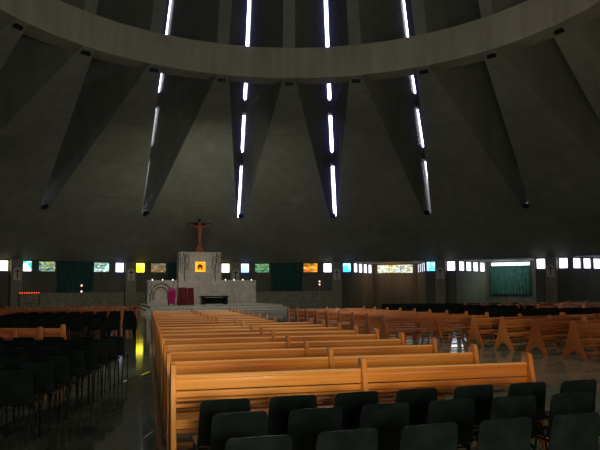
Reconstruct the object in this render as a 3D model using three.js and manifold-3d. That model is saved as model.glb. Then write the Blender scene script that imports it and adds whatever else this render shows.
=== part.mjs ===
// A round modern church hall: a tall pleated concrete cone of folded plates that
// stand on piers, tied by a ring beam, closed by a low ring of window walls with
// chapels, over a stone floor with an altar, pews and chairs.
// Driving dimensions are the real building's, in metres. The model is half size.
// The origin is the middle of the hall on the ground, +Y points to the altar.

import * as THREE from "three";
import { mergeVertices } from "three/addons/utils/BufferGeometryUtils.js";
import Module from "manifold-3d";

const wasm = await Module();
wasm.setup();

const modelScale = 1 / 2;
const mmPerMetre = 1000 * modelScale;
const gap = 0.3 / mmPerMetre;
const overlap = 0.001;

// The plan: equal bays round a circle, each fold centred on a rib
const bayCount = 22;
const bayAngle = (2 * Math.PI) / bayCount;
const halfBay = bayAngle / 2;
const baySlope = Math.tan(halfBay);

// Heights of the shell above the ground
const eaveHeight = 4.6;
const tipHeight = 8.45;
const ringBottom = 17.7;
const ridgeKinkHeight = 19.8;
const ringTop = 20.05;
const crownHeight = 62;
const capBottom = 63.2;
const totalHeight = 74;

// Radii of the shell, and its plate thicknesses
const ridgeGroundRadius = 39.8;
const ridgeKinkRadius = 26.1;
const ridgeCrownRadius = 5.77;
const ribRingRadius = 17.5;
const ribCrownRadius = 4.45;
const tipInset = 30.13;
const tipSill = 0.15;
const tipOpening = 0.35;
const ribHalfWidth = 0.45;
const webDepth = 0.55;
const flankThickness = 0.42;
const finHalfWidth = 0.45;
const cheekDepth = 0.45;
const crownRingInset = 0.35;
const ringBeamDepth = 1.6;
const lantern = { lip: 1.3, shell: 0.35, crownDepth: 3, overhang: 0.1, glassDepth: 0.4 };
const notchBottom = ringBottom - gap;
const notchTop = ringTop + gap;

// Slot windows along the ridges, closed by ties
const slotHalfWidth = 0.17;
const slotBottom = 8.83;
const slotCutDepth = 2.5;
const slotTieHeight = 1.05;
const slotWindowHeights = [4.57, 3.05, 10, 14, 14];
const ribbonHalfWidth = 0.24;
const glassThickness = 0.05;

// The low ring wall and its windows
const wallInner = 35.7;
const wallThickness = 0.4;
const wallOuter = wallInner + wallThickness;
const wallTop = eaveHeight - gap;
const pilasterDepth = 0.12;
const windowBottom = 3.57;
const windowHeight = 0.96;
const smallWindow = { centre: 4.17, width: 0.86 };
const pictureWindow = { centre: 2.45, width: 1.5 };
const glassMargin = 0.15;
const pierInner = (wallOuter + glassThickness + 2 * gap) / Math.cos(halfBay);

// Chapels behind six of the bays, and the open portal facing the altar
const chapelMouthHalf = 3.65;
const chapelBackHalf = 2.35;
const chapelBack = 42.0;
const chapelWall = 0.3;
const chapelRoof = 0.35;
const chapelStripHalf = 1.95;
const chapelSideWindow = { count: 4, width: 1.1, before: 0.6, after: 0.6, cutReach: 0.78 };
const portalHalfWidth = 2.1;
const portalHeight = 3.25;

const floorThickness = 0.15;

// The altar platform, its wall and tower. Each x is how far a middle stands off the altar axis.
const platform = {
  x: 0.35, front: 19.4, back: 31.4, halfWidth: 5.8, height: 0.71, steps: 3, tread: 0.38,
};
const altarWall = { y: 28.1, left: -4.2, right: 5.3, height: 1.95, thickness: 0.4 };
const tower = { x: 0.25, halfWidth: 1.9, topHalfWidth: 1.82, height: 4.45, depth: 1.35, forward: 0.25 };
const niche = { half: 0.35, z: 3.87, depth: 0.25 };
const cross = { height: 3.0, width: 2.1, bar: 0.22, armHeight: 2.5 };
const altarTable = {
  x: 0.55, y: 23.2, width: 2.35, depth: 1.0, height: 0.68, top: 0.1, leg: 0.32, legInset: 0.1,
};

// Pews in the middle block: end boards of one outline, joined by long planks.
// Outlines and planks are sizes from the pew's back foot, forwards and up.
const pew = { count: 6, pitch: 1.165, length: 3.72, sections: 2, end: 0.05 };
const pewEndOutline = [
  [0, 0], [0.1, 0], [0.18, 0.09], [0.36, 0.22], [0.54, 0.09], [0.62, 0], [0.72, 0],
  [0.63, 0.23], [0.53, 0.5], [0.49, 0.67], [0.44, 0.93], [0.42, 0.96],
  [0.325, 0.96], [0.3, 0.93], [0.25, 0.67], [0.205, 0.5], [0.105, 0.23],
];
const pewPlanks = {
  topRail: { back: 0.34, front: 0.4, low: 0.83, high: 0.865 },
  upperBoard: { back: 0.345, front: 0.38, low: 0.725, high: 0.84 },
  lowerBoard: { back: 0.345, front: 0.375, low: 0.652, high: 0.712 },
  ledge: { back: 0.27, front: 0.39, low: 0.632, high: 0.655 },
  backSlat: { back: 0.34, front: 0.365, low: 0.565, high: 0.6 },
  seat: { back: 0.33, front: 0.71, low: 0.42, high: 0.46 },
  seatRail: { back: 0.335, front: 0.36, low: 0.376, high: 0.43 },
  kneeler: { back: 0.02, front: 0.16, low: 0.16, high: 0.195 },
};
const pewBlock = { x: -8.8, y: -23.28, turn: -4.6 };
const chair = {
  perRow: 7, pitch: 0.545, width: 0.42, depth: 0.42, seatHeight: 0.45, seatThickness: 0.035,
  backTop: 0.8, backThickness: 0.03, lean: 0.06, leg: 0.024,
  link: 0.03, linkBack: 0.2, linkThickness: 0.01,
};
const chairRows = [
  { x: -8.7, y: -23.99, turn: -1.6 },
  { x: -8.72, y: -24.57, turn: -1.6 },
  { x: -8.79, y: -25.34, turn: -1.6 },
];

const finishes = {
  foldConcrete: { color: 0x2b2a24, roughness: 0.85, metalness: 0 },
  ringConcrete: { color: 0x4a4434, roughness: 0.8, metalness: 0 },
  wallRender: { color: 0x2f3029, roughness: 0.85, metalness: 0 },
  slotGlass: { color: 0xe8ecff, roughness: 0.2, metalness: 0 },
  windowGlass: { color: 0x7fb0c0, roughness: 0.15, metalness: 0 },
  marble: { color: 0x2a2520, roughness: 0.12, metalness: 0 },
  altarStone: { color: 0x8c877c, roughness: 0.7, metalness: 0 },
  whiteMarble: { color: 0xb9b6ad, roughness: 0.4, metalness: 0 },
  blackStone: { color: 0x14140f, roughness: 0.25, metalness: 0 },
  darkWood: { color: 0x3a1f16, roughness: 0.6, metalness: 0 },
  pewWood: { color: 0xb5702f, roughness: 0.4, metalness: 0 },
  chairPlastic: { color: 0x121512, roughness: 0.35, metalness: 0 },
};

// Solids, held as manifolds until a piece is whole

function toSolid(geometry) {
  geometry.deleteAttribute("normal");
  geometry.deleteAttribute("uv");
  const merged = mergeVertices(geometry, 1e-6);
  const vertProperties = new Float32Array(merged.attributes.position.array);
  const triVerts = new Uint32Array(merged.index.array);
  const solid = new wasm.Manifold(new wasm.Mesh({ numProp: 3, vertProperties, triVerts }));
  if (solid.volume() > 0) return solid;
  return new wasm.Manifold(new wasm.Mesh({ numProp: 3, vertProperties, triVerts: triVerts.reverse() }));
}

function boxSolid(low, high) {
  const size = high.map((value, axis) => value - low[axis]);
  const box = new THREE.BoxGeometry(...size);
  box.translate(...low.map((value, axis) => value + size[axis] / 2));
  return toSolid(box);
}

// An upright prism over a plan outline of [x, y] points
function prism(outline, bottom, top) {
  const shape = new THREE.Shape(outline.map(([x, y]) => new THREE.Vector2(x, y)));
  const body = new THREE.ExtrudeGeometry(shape, { depth: top - bottom, bevelEnabled: false });
  body.translate(0, 0, bottom);
  return toSolid(body);
}

// A closed skin through rings of points, [x, y, z], with flat ends
function loft(sections) {
  const flat = (ring) => ring.map(([x, y]) => new THREE.Vector2(x, y));
  const clockwise = THREE.ShapeUtils.isClockWise(flat(sections[0]));
  const rings = clockwise ? sections.map((ring) => [...ring].reverse()) : sections;
  const count = rings[0].length;
  const points = rings.flat(2);
  const faces = [];
  for (let level = 0; level + 1 < rings.length; level += 1) {
    for (let side = 0; side < count; side += 1) {
      const a = level * count + side;
      const b = level * count + ((side + 1) % count);
      faces.push(a, b, b + count, a, b + count, a + count);
    }
  }
  const last = (rings.length - 1) * count;
  for (const [a, b, c] of THREE.ShapeUtils.triangulateShape(flat(rings[0]), [])) faces.push(a, c, b);
  for (const [a, b, c] of THREE.ShapeUtils.triangulateShape(flat(rings.at(-1)), [])) {
    faces.push(last + a, last + b, last + c);
  }
  const skin = new THREE.BufferGeometry();
  skin.setAttribute("position", new THREE.Float32BufferAttribute(points, 3));
  skin.setIndex(faces);
  return toSolid(skin);
}

// A band of constant profile, [radius, z] points, turned round the hall's axis
function turned(profile, sides) {
  const outline = profile.map(([r, z]) => new THREE.Vector2(r, z));
  const band = new THREE.LatheGeometry([...outline, outline[0]], sides);
  band.rotateX(Math.PI / 2);
  return toSolid(band);
}

function union(solids) {
  return solids.reduce((whole, solid) => whole.add(solid));
}

// Turns a solid clockwise, seen from above, from the altar axis to another rib
function toBay(solid, bay) {
  return solid.rotate([0, 0, (-bay * 360) / bayCount]);
}

function mix(from, to, share) {
  return from + (to - from) * share;
}

// Lines of the shell, as functions of height

function ridgeRadius(z) {
  if (z < ridgeKinkHeight) return mix(ridgeGroundRadius, ridgeKinkRadius, z / ridgeKinkHeight);
  const share = (z - ridgeKinkHeight) / (crownHeight - ridgeKinkHeight);
  return mix(ridgeKinkRadius, ridgeCrownRadius, share);
}

function ribInset(z) {
  if (z < tipHeight) return mix(wallInner, tipInset, (z - eaveHeight) / (tipHeight - eaveHeight));
  if (z < notchBottom) return mix(tipInset, ribRingRadius, (z - tipHeight) / (notchBottom - tipHeight));
  if (z < notchTop) return ribRingRadius;
  return mix(ribRingRadius, ribCrownRadius, (z - notchTop) / (crownHeight - notchTop));
}

// The web fills its bay up to the tip, then opens over a short sill and narrows to a rib
function webHalfWidth(z) {
  const sill = tipHeight + tipSill;
  if (z <= tipHeight) return ribInset(z) * baySlope;
  if (z >= notchBottom) return ribHalfWidth;
  const share = Math.max(0, (z - sill) / (notchBottom - sill));
  return mix(ribInset(sill) * baySlope - tipOpening, ribHalfWidth, share);
}

// A point on the bay's edge plane, set back from it sideways
function edgePoint(radius, setBack, z) {
  const y = radius * Math.cos(halfBay) + setBack * Math.sin(halfBay);
  const x = radius * Math.sin(halfBay) - setBack * Math.cos(halfBay);
  return [x, y, z];
}

// One level of a fold: the rib's inner face, two flanks out to the ridges, the valley
function foldSection(z) {
  const inset = ribInset(z);
  const ridge = ridgeRadius(z);
  const half = z <= tipHeight ? webHalfWidth(z) - gap : webHalfWidth(z);
  const cheek = edgePoint(ridge - cheekDepth, gap / 2, z);
  const lean = (cheek[0] - half) / Math.max(cheek[1] - inset, cheekDepth);
  const flank = z <= tipHeight ? finHalfWidth : flankThickness;
  const slope = z <= tipHeight ? baySlope : lean;
  const valley = half + webDepth * slope - flank * Math.hypot(1, slope);
  const right = [
    [valley, inset + webDepth, z],
    edgePoint(ridge, finHalfWidth, z),
    edgePoint(ridge, gap / 2, z),
    z > eaveHeight ? cheek : edgePoint(pierInner, gap / 2, z),
    [half, inset, z],
  ];
  const left = right.map(([x, y, level]) => [-x, y, level]).reverse();
  return [...right, ...left];
}

// The pier under each side of a fold, sloping out to the ridge's foot
function pierSolid(side) {
  const level = (z) => {
    const outer = ridgeRadius(z);
    const corners = [
      edgePoint(pierInner, finHalfWidth, z),
      edgePoint(outer, finHalfWidth, z),
      edgePoint(outer, gap / 2, z),
      edgePoint(pierInner, gap / 2, z),
    ];
    return side > 0 ? corners : corners.map(([x, y, height]) => [-x, y, height]).reverse();
  };
  return loft([level(0), level(eaveHeight)]);
}

// A strip that follows the ridge of one edge plane between two heights
function ridgeStrip(halfWidth, inner, outer, bottom, top) {
  const heights = [bottom, ridgeKinkHeight, top].filter((z) => z >= bottom && z <= top);
  const level = (z) => {
    const radius = ridgeRadius(z);
    return [
      edgePoint(radius - inner, halfWidth, z),
      edgePoint(radius + outer, halfWidth, z),
      edgePoint(radius + outer, -halfWidth, z),
      edgePoint(radius - inner, -halfWidth, z),
    ];
  };
  return loft([...new Set(heights)].map(level));
}

function slotCutters() {
  const cutters = [];
  let bottom = slotBottom;
  for (const height of slotWindowHeights) {
    const top = Math.min(bottom + height, crownHeight - slotTieHeight);
    cutters.push(ridgeStrip(slotHalfWidth, slotCutDepth, 1, bottom, top));
    bottom = top + slotTieHeight;
  }
  return union(cutters);
}

function ringNotch() {
  const inner = ribRingRadius - ringBeamDepth;
  const outer = ribRingRadius + ringBeamDepth + gap;
  return turned([
    [inner, notchBottom],
    [outer, notchBottom],
    [outer, notchTop],
    [inner, notchTop],
  ], 2 * bayCount);
}

function foldSolid() {
  const shell = loft([
    eaveHeight, tipHeight, tipHeight + tipSill, notchBottom, ridgeKinkHeight, notchTop, crownHeight,
  ].map(foldSection));
  const slots = slotCutters();
  const cuts = union([slots, toBay(slots, -1), ringNotch()]);
  return union([shell, pierSolid(1), pierSolid(-1)]).subtract(cuts);
}

// Rings that tie the folds

function ringBeamSolid() {
  const outer = ribRingRadius + ringBeamDepth;
  return turned([
    [ribRingRadius, ringBottom],
    [outer, ringBottom],
    [outer, ringTop],
    [ribRingRadius, ringTop],
  ], 2 * bayCount);
}

function crownRingSolid() {
  const inner = ribCrownRadius - crownRingInset;
  const outer = ribCrownRadius + webDepth;
  return turned([
    [inner, crownHeight + gap],
    [outer, crownHeight + gap],
    [outer, capBottom - gap],
    [inner, capBottom - gap],
  ], 2 * bayCount);
}

function lanternCapSolid() {
  const foot = ridgeCrownRadius + lantern.overhang;
  const outline = [
    [0, totalHeight - lantern.crownDepth],
    [foot - lantern.lip, capBottom + lantern.shell],
    [foot - lantern.lip, capBottom],
    [foot, capBottom],
    [foot, capBottom + lantern.shell],
    [0, totalHeight],
  ];
  const cap = new THREE.LatheGeometry(outline.map(([r, z]) => new THREE.Vector2(r, z)), bayCount);
  cap.rotateX(Math.PI / 2);
  return toSolid(cap);
}

// One ribbon of glass down each ridge, all hung from a glazed ring at the crown
function slotGlazingSolid() {
  const inner = ribCrownRadius + webDepth + gap;
  const outer = ridgeCrownRadius + glassThickness;
  const ring = turned([
    [inner, crownHeight + gap],
    [outer, crownHeight + gap],
    [outer, crownHeight + lantern.glassDepth],
    [inner, crownHeight + lantern.glassDepth],
  ], 2 * bayCount);
  const top = crownHeight + lantern.glassDepth / 2;
  const bottom = slotBottom - ribbonHalfWidth;
  const ribbon = ridgeStrip(ribbonHalfWidth, -gap, glassThickness, bottom, top);
  const bays = Array.from({ length: bayCount }, (_, bay) => toBay(ribbon, bay));
  return union([ring, ...bays]);
}

// The ring wall

// One bay of wall, mitred to its neighbours, with half a pilaster at each end
function bayPanel(startGap, endGap) {
  const face = wallInner - pilasterDepth;
  const pilasterEdge = face * baySlope - finHalfWidth;
  return prism([
    [-wallOuter * baySlope + startGap, wallOuter],
    [-face * baySlope + startGap, face],
    [-pilasterEdge, face],
    [-pilasterEdge, wallInner],
    [pilasterEdge, wallInner],
    [pilasterEdge, face],
    [face * baySlope - endGap, face],
    [wallOuter * baySlope - endGap, wallOuter],
  ], 0, wallTop);
}

function windowCut(centre, width) {
  const low = [centre - width / 2, wallInner - 1, windowBottom];
  return boxSolid(low, [centre + width / 2, wallOuter + 1, windowBottom + windowHeight]);
}

function smallWindows() {
  return union([-1, 1].map((side) => windowCut(side * smallWindow.centre, smallWindow.width)));
}

function pictureWindows() {
  return union([-1, 1].map((side) => windowCut(side * pictureWindow.centre, pictureWindow.width)));
}

// The chapel's plan, from one mouth corner round the back to the other
function chapelPath(offset) {
  const mouth = chapelMouthHalf + offset;
  const back = chapelBackHalf + offset;
  return [
    [-mouth, wallInner - 1],
    [-mouth, wallInner],
    [-back, chapelBack + offset],
    [back, chapelBack + offset],
    [mouth, wallInner],
    [mouth, wallInner - 1],
  ];
}

function chapelHollow() {
  return prism(chapelPath(0), -1, eaveHeight);
}

function chapelBlock() {
  const reach = 2 * chapelMouthHalf;
  const roofTop = eaveHeight + chapelRoof;
  const outer = prism(chapelPath(chapelWall), 0, roofTop);
  const front = boxSolid([-reach, 0, -1], [reach, wallInner + overlap, roofTop + 1]);
  const underEave = boxSolid([-reach, 0, wallTop], [reach, wallInner + webDepth + gap, roofTop + 1]);
  return outer.subtract(front).subtract(underEave);
}

// Small windows along each slanted side of a chapel, and a strip across its back
function chapelWindows() {
  const { count, width, before, after, cutReach } = chapelSideWindow;
  const top = windowBottom + windowHeight;
  const cuts = [boxSolid(
    [-chapelStripHalf, chapelBack - 1, windowBottom],
    [chapelStripHalf, chapelBack + 1, top])];
  const slope = (chapelMouthHalf - chapelBackHalf) / (chapelBack - wallInner);
  for (let index = 0; index < count; index += 1) {
    const y = mix(wallOuter, chapelBack, (index + before) / (count - 1 + before + after));
    const x = chapelMouthHalf - slope * (y - wallInner);
    for (const side of [-1, 1]) {
      cuts.push(boxSolid(
        [side * x - cutReach, y - width / 2, windowBottom],
        [side * x + cutReach, y + width / 2, top]));
    }
  }
  return union(cuts);
}

function plainBay(startGap, endGap) {
  return bayPanel(startGap, endGap).subtract(smallWindows()).subtract(pictureWindows());
}

function chapelBay(startGap, endGap) {
  const walls = union([bayPanel(startGap, endGap), chapelBlock()]);
  return walls.subtract(chapelHollow()).subtract(smallWindows()).subtract(chapelWindows());
}

function portalBay(startGap, endGap) {
  const doorway = boxSolid(
    [-portalHalfWidth, wallInner - 1, -1],
    [portalHalfWidth, wallOuter + 1, portalHeight]);
  return plainBay(startGap, endGap).subtract(doorway);
}

function wallRun(makeBay, firstBay, lastBay) {
  const bays = [];
  for (let bay = firstBay; bay <= lastBay; bay += 1) {
    const startGap = bay === firstBay ? gap / 2 : -overlap;
    const endGap = bay === lastBay ? gap / 2 : -overlap;
    bays.push(toBay(makeBay(startGap, endGap), bay));
  }
  return union(bays);
}

// One sheet of glass closes all windows from outside, stepping round the chapels
function perimeter(offset, chapelOffset) {
  const points = [];
  for (let bay = 0; bay < bayCount; bay += 1) {
    const angle = -bay * bayAngle;
    const face = wallInner + offset;
    const local = [[-face * baySlope, face]];
    if (hasChapel(bay)) {
      const path = chapelPath(chapelOffset).slice(1, 5);
      const run = (path[1][0] - path[0][0]) / (path[1][1] - path[0][1]);
      const mouth = path[0][0] + (face - path[0][1]) * run;
      local.push([mouth, face], path[1], path[2], [-mouth, face]);
    }
    for (const [x, y] of local) {
      points.push(new THREE.Vector2(x, y).rotateAround(new THREE.Vector2(), angle).toArray());
    }
  }
  return points.reverse();
}

function hasChapel(bay) {
  const fromAltar = Math.min(bay, bayCount - bay);
  return fromAltar >= 2 && fromAltar <= 4;
}

function windowGlassSolid() {
  const low = windowBottom - glassMargin;
  const high = eaveHeight - gap;
  const ring = (offset, bottom, top) => prism(
    perimeter(wallThickness + offset, chapelWall + offset), bottom, top);
  return ring(gap + glassThickness, low, high).subtract(ring(gap, low - 1, high + 1));
}

function floorSolid() {
  return prism(perimeter(-pilasterDepth - gap, -gap), 0, floorThickness);
}

// The altar end

function platformSolid() {
  const rise = (platform.height - floorThickness) / platform.steps;
  const levels = [];
  for (let step = 0; step < platform.steps; step += 1) {
    const inset = step * platform.tread;
    const half = platform.halfWidth - inset;
    levels.push(boxSolid(
      [platform.x - half, platform.front + inset, floorThickness + gap],
      [platform.x + half, platform.back, floorThickness + (step + 1) * rise]));
  }
  return union(levels);
}

// Low walls beside the tower, joined by a return at each end and a wall behind
function altarWallSolid() {
  const { y, left, right, height, thickness } = altarWall;
  const bottom = platform.height + gap;
  const top = bottom + height;
  const behind = y - tower.forward + tower.depth + gap;
  const wall = (xLow, xHigh, yLow, yHigh) => boxSolid([xLow, yLow, bottom], [xHigh, yHigh, top]);
  return union([
    wall(left, right, behind, behind + thickness),
    wall(left, tower.x - tower.halfWidth - gap, y, y + thickness),
    wall(tower.x + tower.halfWidth + gap, right, y, y + thickness),
    wall(left, left + thickness, y, behind + thickness),
    wall(right - thickness, right, y, behind + thickness),
  ]);
}

function towerSolid() {
  const bottom = platform.height + gap;
  const front = altarWall.y - tower.forward;
  const ring = (half, z) => [
    [tower.x - half, front, z],
    [tower.x + half, front, z],
    [tower.x + half, front + tower.depth, z],
    [tower.x - half, front + tower.depth, z],
  ];
  const body = loft([ring(tower.halfWidth, bottom), ring(tower.topHalfWidth, bottom + tower.height)]);
  const recess = boxSolid(
    [tower.x - niche.half, front - 1, niche.z - niche.half],
    [tower.x + niche.half, front + niche.depth, niche.z + niche.half]);
  return body.subtract(recess);
}

function crossSolid() {
  const bottom = platform.height + tower.height + 2 * gap;
  const y = altarWall.y - tower.forward + (tower.depth - cross.bar) / 2;
  const armLow = bottom + cross.armHeight - cross.bar / 2;
  const post = boxSolid(
    [tower.x - cross.bar / 2, y, bottom],
    [tower.x + cross.bar / 2, y + cross.bar, bottom + cross.height]);
  const arm = boxSolid(
    [tower.x - cross.width / 2, y, armLow],
    [tower.x + cross.width / 2, y + cross.bar, armLow + cross.bar]);
  return post.add(arm);
}

function tableSolid() {
  const { x, y, width, depth, height, top, leg, legInset } = altarTable;
  const bottom = platform.height + gap;
  const underside = bottom + height - top;
  const slab = boxSolid(
    [x - width / 2, y - depth / 2, underside],
    [x + width / 2, y + depth / 2, bottom + height]);
  const legs = [-1, 1].map((sign) => {
    const middle = x + sign * (width / 2 - leg);
    return boxSolid(
      [middle - leg / 2, y - depth / 2 + legInset, bottom],
      [middle + leg / 2, y + depth / 2 - legInset, underside + overlap]);
  });
  return union([slab, ...legs]);
}

// Seating

// The end board of a pew: two splayed legs that meet in a narrow post
function pewEnd(x) {
  const shape = new THREE.Shape(pewEndOutline.map(([y, z]) => new THREE.Vector2(y, z)));
  const board = new THREE.ExtrudeGeometry(shape, { depth: pew.end, bevelEnabled: false });
  board.rotateX(Math.PI / 2);
  board.rotateZ(Math.PI / 2);
  board.translate(x, 0, 0);
  return toSolid(board);
}

function pewSolid() {
  const { length, sections, end } = pew;
  const planks = Object.values(pewPlanks).map(({ back, front, low, high }) =>
    boxSolid([end / 2, back, low], [length - end / 2, front, high]));
  const ends = Array.from({ length: sections + 1 }, (_, index) =>
    pewEnd((index * (length - end)) / sections));
  return union([...planks, ...ends]);
}

function chairSolid() {
  const { width, depth, seatHeight, seatThickness, backTop, backThickness, lean, leg } = chair;
  const outline = [
    [-lean, backTop], [-lean - backThickness, backTop], [-backThickness, seatHeight],
    [0, seatHeight - seatThickness], [depth, seatHeight - seatThickness],
    [depth, seatHeight], [0, seatHeight],
  ];
  const shape = new THREE.Shape(outline.map(([y, z]) => new THREE.Vector2(y, z)));
  const shell = new THREE.ExtrudeGeometry(shape, { depth: width, bevelEnabled: false });
  shell.rotateX(Math.PI / 2);
  shell.rotateZ(Math.PI / 2);
  const corners = [leg, width - 2 * leg].flatMap((x) => [[x, leg], [x, depth - 2 * leg]]);
  const legs = corners.map(([x, y]) =>
    boxSolid([x, y, 0], [x + leg, y + leg, seatHeight - overlap]));
  return union([toSolid(shell), ...legs]);
}

// Chairs in a row are clipped together under their seats
function chairRowSolid() {
  const { perRow, pitch, width, seatHeight, seatThickness, link, linkBack, linkThickness } = chair;
  const low = seatHeight - seatThickness;
  const chairs = Array.from({ length: perRow }, (_, index) =>
    chairSolid().translate([index * pitch, 0, 0]));
  const links = Array.from({ length: perRow - 1 }, (_, index) => boxSolid(
    [index * pitch + width - overlap, linkBack, low],
    [(index + 1) * pitch + overlap, linkBack + link, low + linkThickness]));
  return union([...chairs, ...links]);
}

// Meshes

function pieceGeometry(solid) {
  const { vertProperties, triVerts, numProp } = solid.getMesh();
  const geometry = new THREE.BufferGeometry();
  const positions = new Float32Array((vertProperties.length / numProp) * 3);
  for (let index = 0; index < positions.length; index += 1) {
    positions[index] = vertProperties[Math.floor(index / 3) * numProp + (index % 3)] * mmPerMetre;
  }
  geometry.setAttribute("position", new THREE.BufferAttribute(positions, 3));
  geometry.setIndex(new THREE.BufferAttribute(new Uint32Array(triVerts), 1));
  geometry.computeVertexNormals();
  return geometry;
}

function makePiece(name, geometry, finish) {
  const piece = new THREE.Mesh(geometry, new THREE.MeshStandardMaterial(finishes[finish]));
  piece.name = name;
  return piece;
}

function twoDigits(number) {
  return String(number).padStart(2, "0");
}

function coneShell() {
  const shell = new THREE.Group();
  const fold = pieceGeometry(foldSolid());
  for (let bay = 0; bay < bayCount; bay += 1) {
    const piece = makePiece(`cone_fold_${twoDigits(bay + 1)}`, fold, "foldConcrete");
    piece.rotation.z = -bay * bayAngle;
    shell.add(piece);
  }
  shell.add(makePiece("ring_beam", pieceGeometry(ringBeamSolid()), "ringConcrete"));
  shell.add(makePiece("crown_ring", pieceGeometry(crownRingSolid()), "ringConcrete"));
  shell.add(makePiece("lantern_cap", pieceGeometry(lanternCapSolid()), "foldConcrete"));
  shell.add(makePiece("slot_glazing", pieceGeometry(slotGlazingSolid()), "slotGlass"));
  return shell;
}

function ringWalls() {
  const walls = new THREE.Group();
  const runs = [
    ["wall_behind_altar", plainBay, -1, 1],
    ["chapel_wall_right", chapelBay, 2, 4],
    ["chapel_wall_left", chapelBay, -4, -2],
    ["side_wall_right", plainBay, 5, 10],
    ["side_wall_left", plainBay, -10, -5],
    ["portal_wall", portalBay, 11, 11],
  ];
  for (const [name, makeBay, first, last] of runs) {
    walls.add(makePiece(name, pieceGeometry(wallRun(makeBay, first, last)), "wallRender"));
  }
  walls.add(makePiece("window_glass", pieceGeometry(windowGlassSolid()), "windowGlass"));
  walls.add(makePiece("floor_slab", pieceGeometry(floorSolid()), "marble"));
  return walls;
}

function altarEnd() {
  const altar = new THREE.Group();
  altar.add(makePiece("altar_platform", pieceGeometry(platformSolid()), "whiteMarble"));
  altar.add(makePiece("altar_wall", pieceGeometry(altarWallSolid()), "altarStone"));
  altar.add(makePiece("altar_tower", pieceGeometry(towerSolid()), "altarStone"));
  altar.add(makePiece("altar_cross", pieceGeometry(crossSolid()), "darkWood"));
  altar.add(makePiece("altar_table", pieceGeometry(tableSolid()), "blackStone"));
  return altar;
}

function seating() {
  const seats = new THREE.Group();
  const floorTop = floorThickness + gap;
  const block = new THREE.Group();
  block.position.set(pewBlock.x * mmPerMetre, pewBlock.y * mmPerMetre, floorTop * mmPerMetre);
  block.rotation.z = THREE.MathUtils.degToRad(pewBlock.turn);
  const pewShape = pieceGeometry(pewSolid());
  for (let row = 0; row < pew.count; row += 1) {
    const piece = makePiece(`pew_${twoDigits(row + 1)}`, pewShape, "pewWood");
    piece.position.y = row * pew.pitch * mmPerMetre;
    block.add(piece);
  }
  seats.add(block);
  const rowShape = pieceGeometry(chairRowSolid());
  chairRows.forEach(({ x, y, turn }, index) => {
    const piece = makePiece(`chair_row_${index + 1}`, rowShape, "chairPlastic");
    piece.position.set(x * mmPerMetre, y * mmPerMetre, floorTop * mmPerMetre);
    piece.rotation.z = THREE.MathUtils.degToRad(turn);
    seats.add(piece);
  });
  return seats;
}

const churchHall = new THREE.Group();
churchHall.add(coneShell(), ringWalls(), altarEnd(), seating());

export default churchHall;
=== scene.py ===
import math
from functools import partial

import bmesh
import bpy
from mathutils import Matrix, Vector


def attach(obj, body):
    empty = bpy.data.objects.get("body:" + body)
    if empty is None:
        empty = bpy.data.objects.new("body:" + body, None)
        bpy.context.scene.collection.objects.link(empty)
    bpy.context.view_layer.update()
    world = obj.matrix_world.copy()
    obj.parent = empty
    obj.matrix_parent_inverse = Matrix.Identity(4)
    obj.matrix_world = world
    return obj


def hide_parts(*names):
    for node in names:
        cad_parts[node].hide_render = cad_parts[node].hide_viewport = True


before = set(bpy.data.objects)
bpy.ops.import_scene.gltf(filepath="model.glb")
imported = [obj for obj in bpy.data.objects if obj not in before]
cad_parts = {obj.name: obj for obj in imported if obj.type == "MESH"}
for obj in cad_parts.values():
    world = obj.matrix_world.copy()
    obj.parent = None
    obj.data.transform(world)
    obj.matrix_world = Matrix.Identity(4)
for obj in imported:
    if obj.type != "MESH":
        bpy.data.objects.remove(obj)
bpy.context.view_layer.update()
print("frame loaded")

# Every size below is the real church's, in metres. The model is half that size.
modelScale = 0.5
building = {
    "bays": 22,                  # equal bays round the hall, bay 0 on the altar axis, counted clockwise
    "floorTop": 0.15,
    "eave": 4.6,
    "tip": (30.13, 8.45),        # radius and height of the lowest corner of each rib
    "ringBottom": 17.7,
    "ringRadius": 17.5,
    "ridge": [(0, 39.8), (19.8, 26.1), (62, 5.77)],     # height and radius
    "wallInner": 35.7,
    "wallOuter": 36.1,
    "windowBottom": 3.57,
    "windowTop": 4.53,
    "smallWindow": (4.17, 0.86),     # middle, on both sides of the bay's middle, and width
    "pictureWindow": (2.45, 1.5),
    "slotHalfWidth": 0.17,
    "slots": [(8.83, 13.4), (14.45, 17.5), (18.55, 28.55), (29.6, 43.6), (44.65, 58.65)],
}
chapel = {"mouthHalf": 3.65, "backHalf": 2.35, "back": 42.0, "stripHalf": 1.95, "glassDepth": 0.12,
          "sideWindows": 4, "sideWidth": 1.1, "sideEnds": 0.6, "bays": (2, 3, 4, -4, -3, -2)}
wallInner, floorTop = building["wallInner"], building["floorTop"]
windowLow, windowHigh = building["windowBottom"], building["windowTop"]
bayAngle = 2 * math.pi / building["bays"]
halfBay = bayAngle / 2


def linear(hexColor):
    parts = [int(hexColor[i:i + 2], 16) / 255 for i in (1, 3, 5)]
    return tuple(c / 12.92 if c <= 0.04045 else ((c + 0.055) / 1.055) ** 2.4 for c in parts) + (1.0,)


def setSocket(tree, socket, value):
    # a value, an sRGB colour or another node's output
    if isinstance(value, bpy.types.NodeSocket):
        tree.links.new(value, socket)
    else:
        socket.default_value = linear(value) if isinstance(value, str) else value


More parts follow.
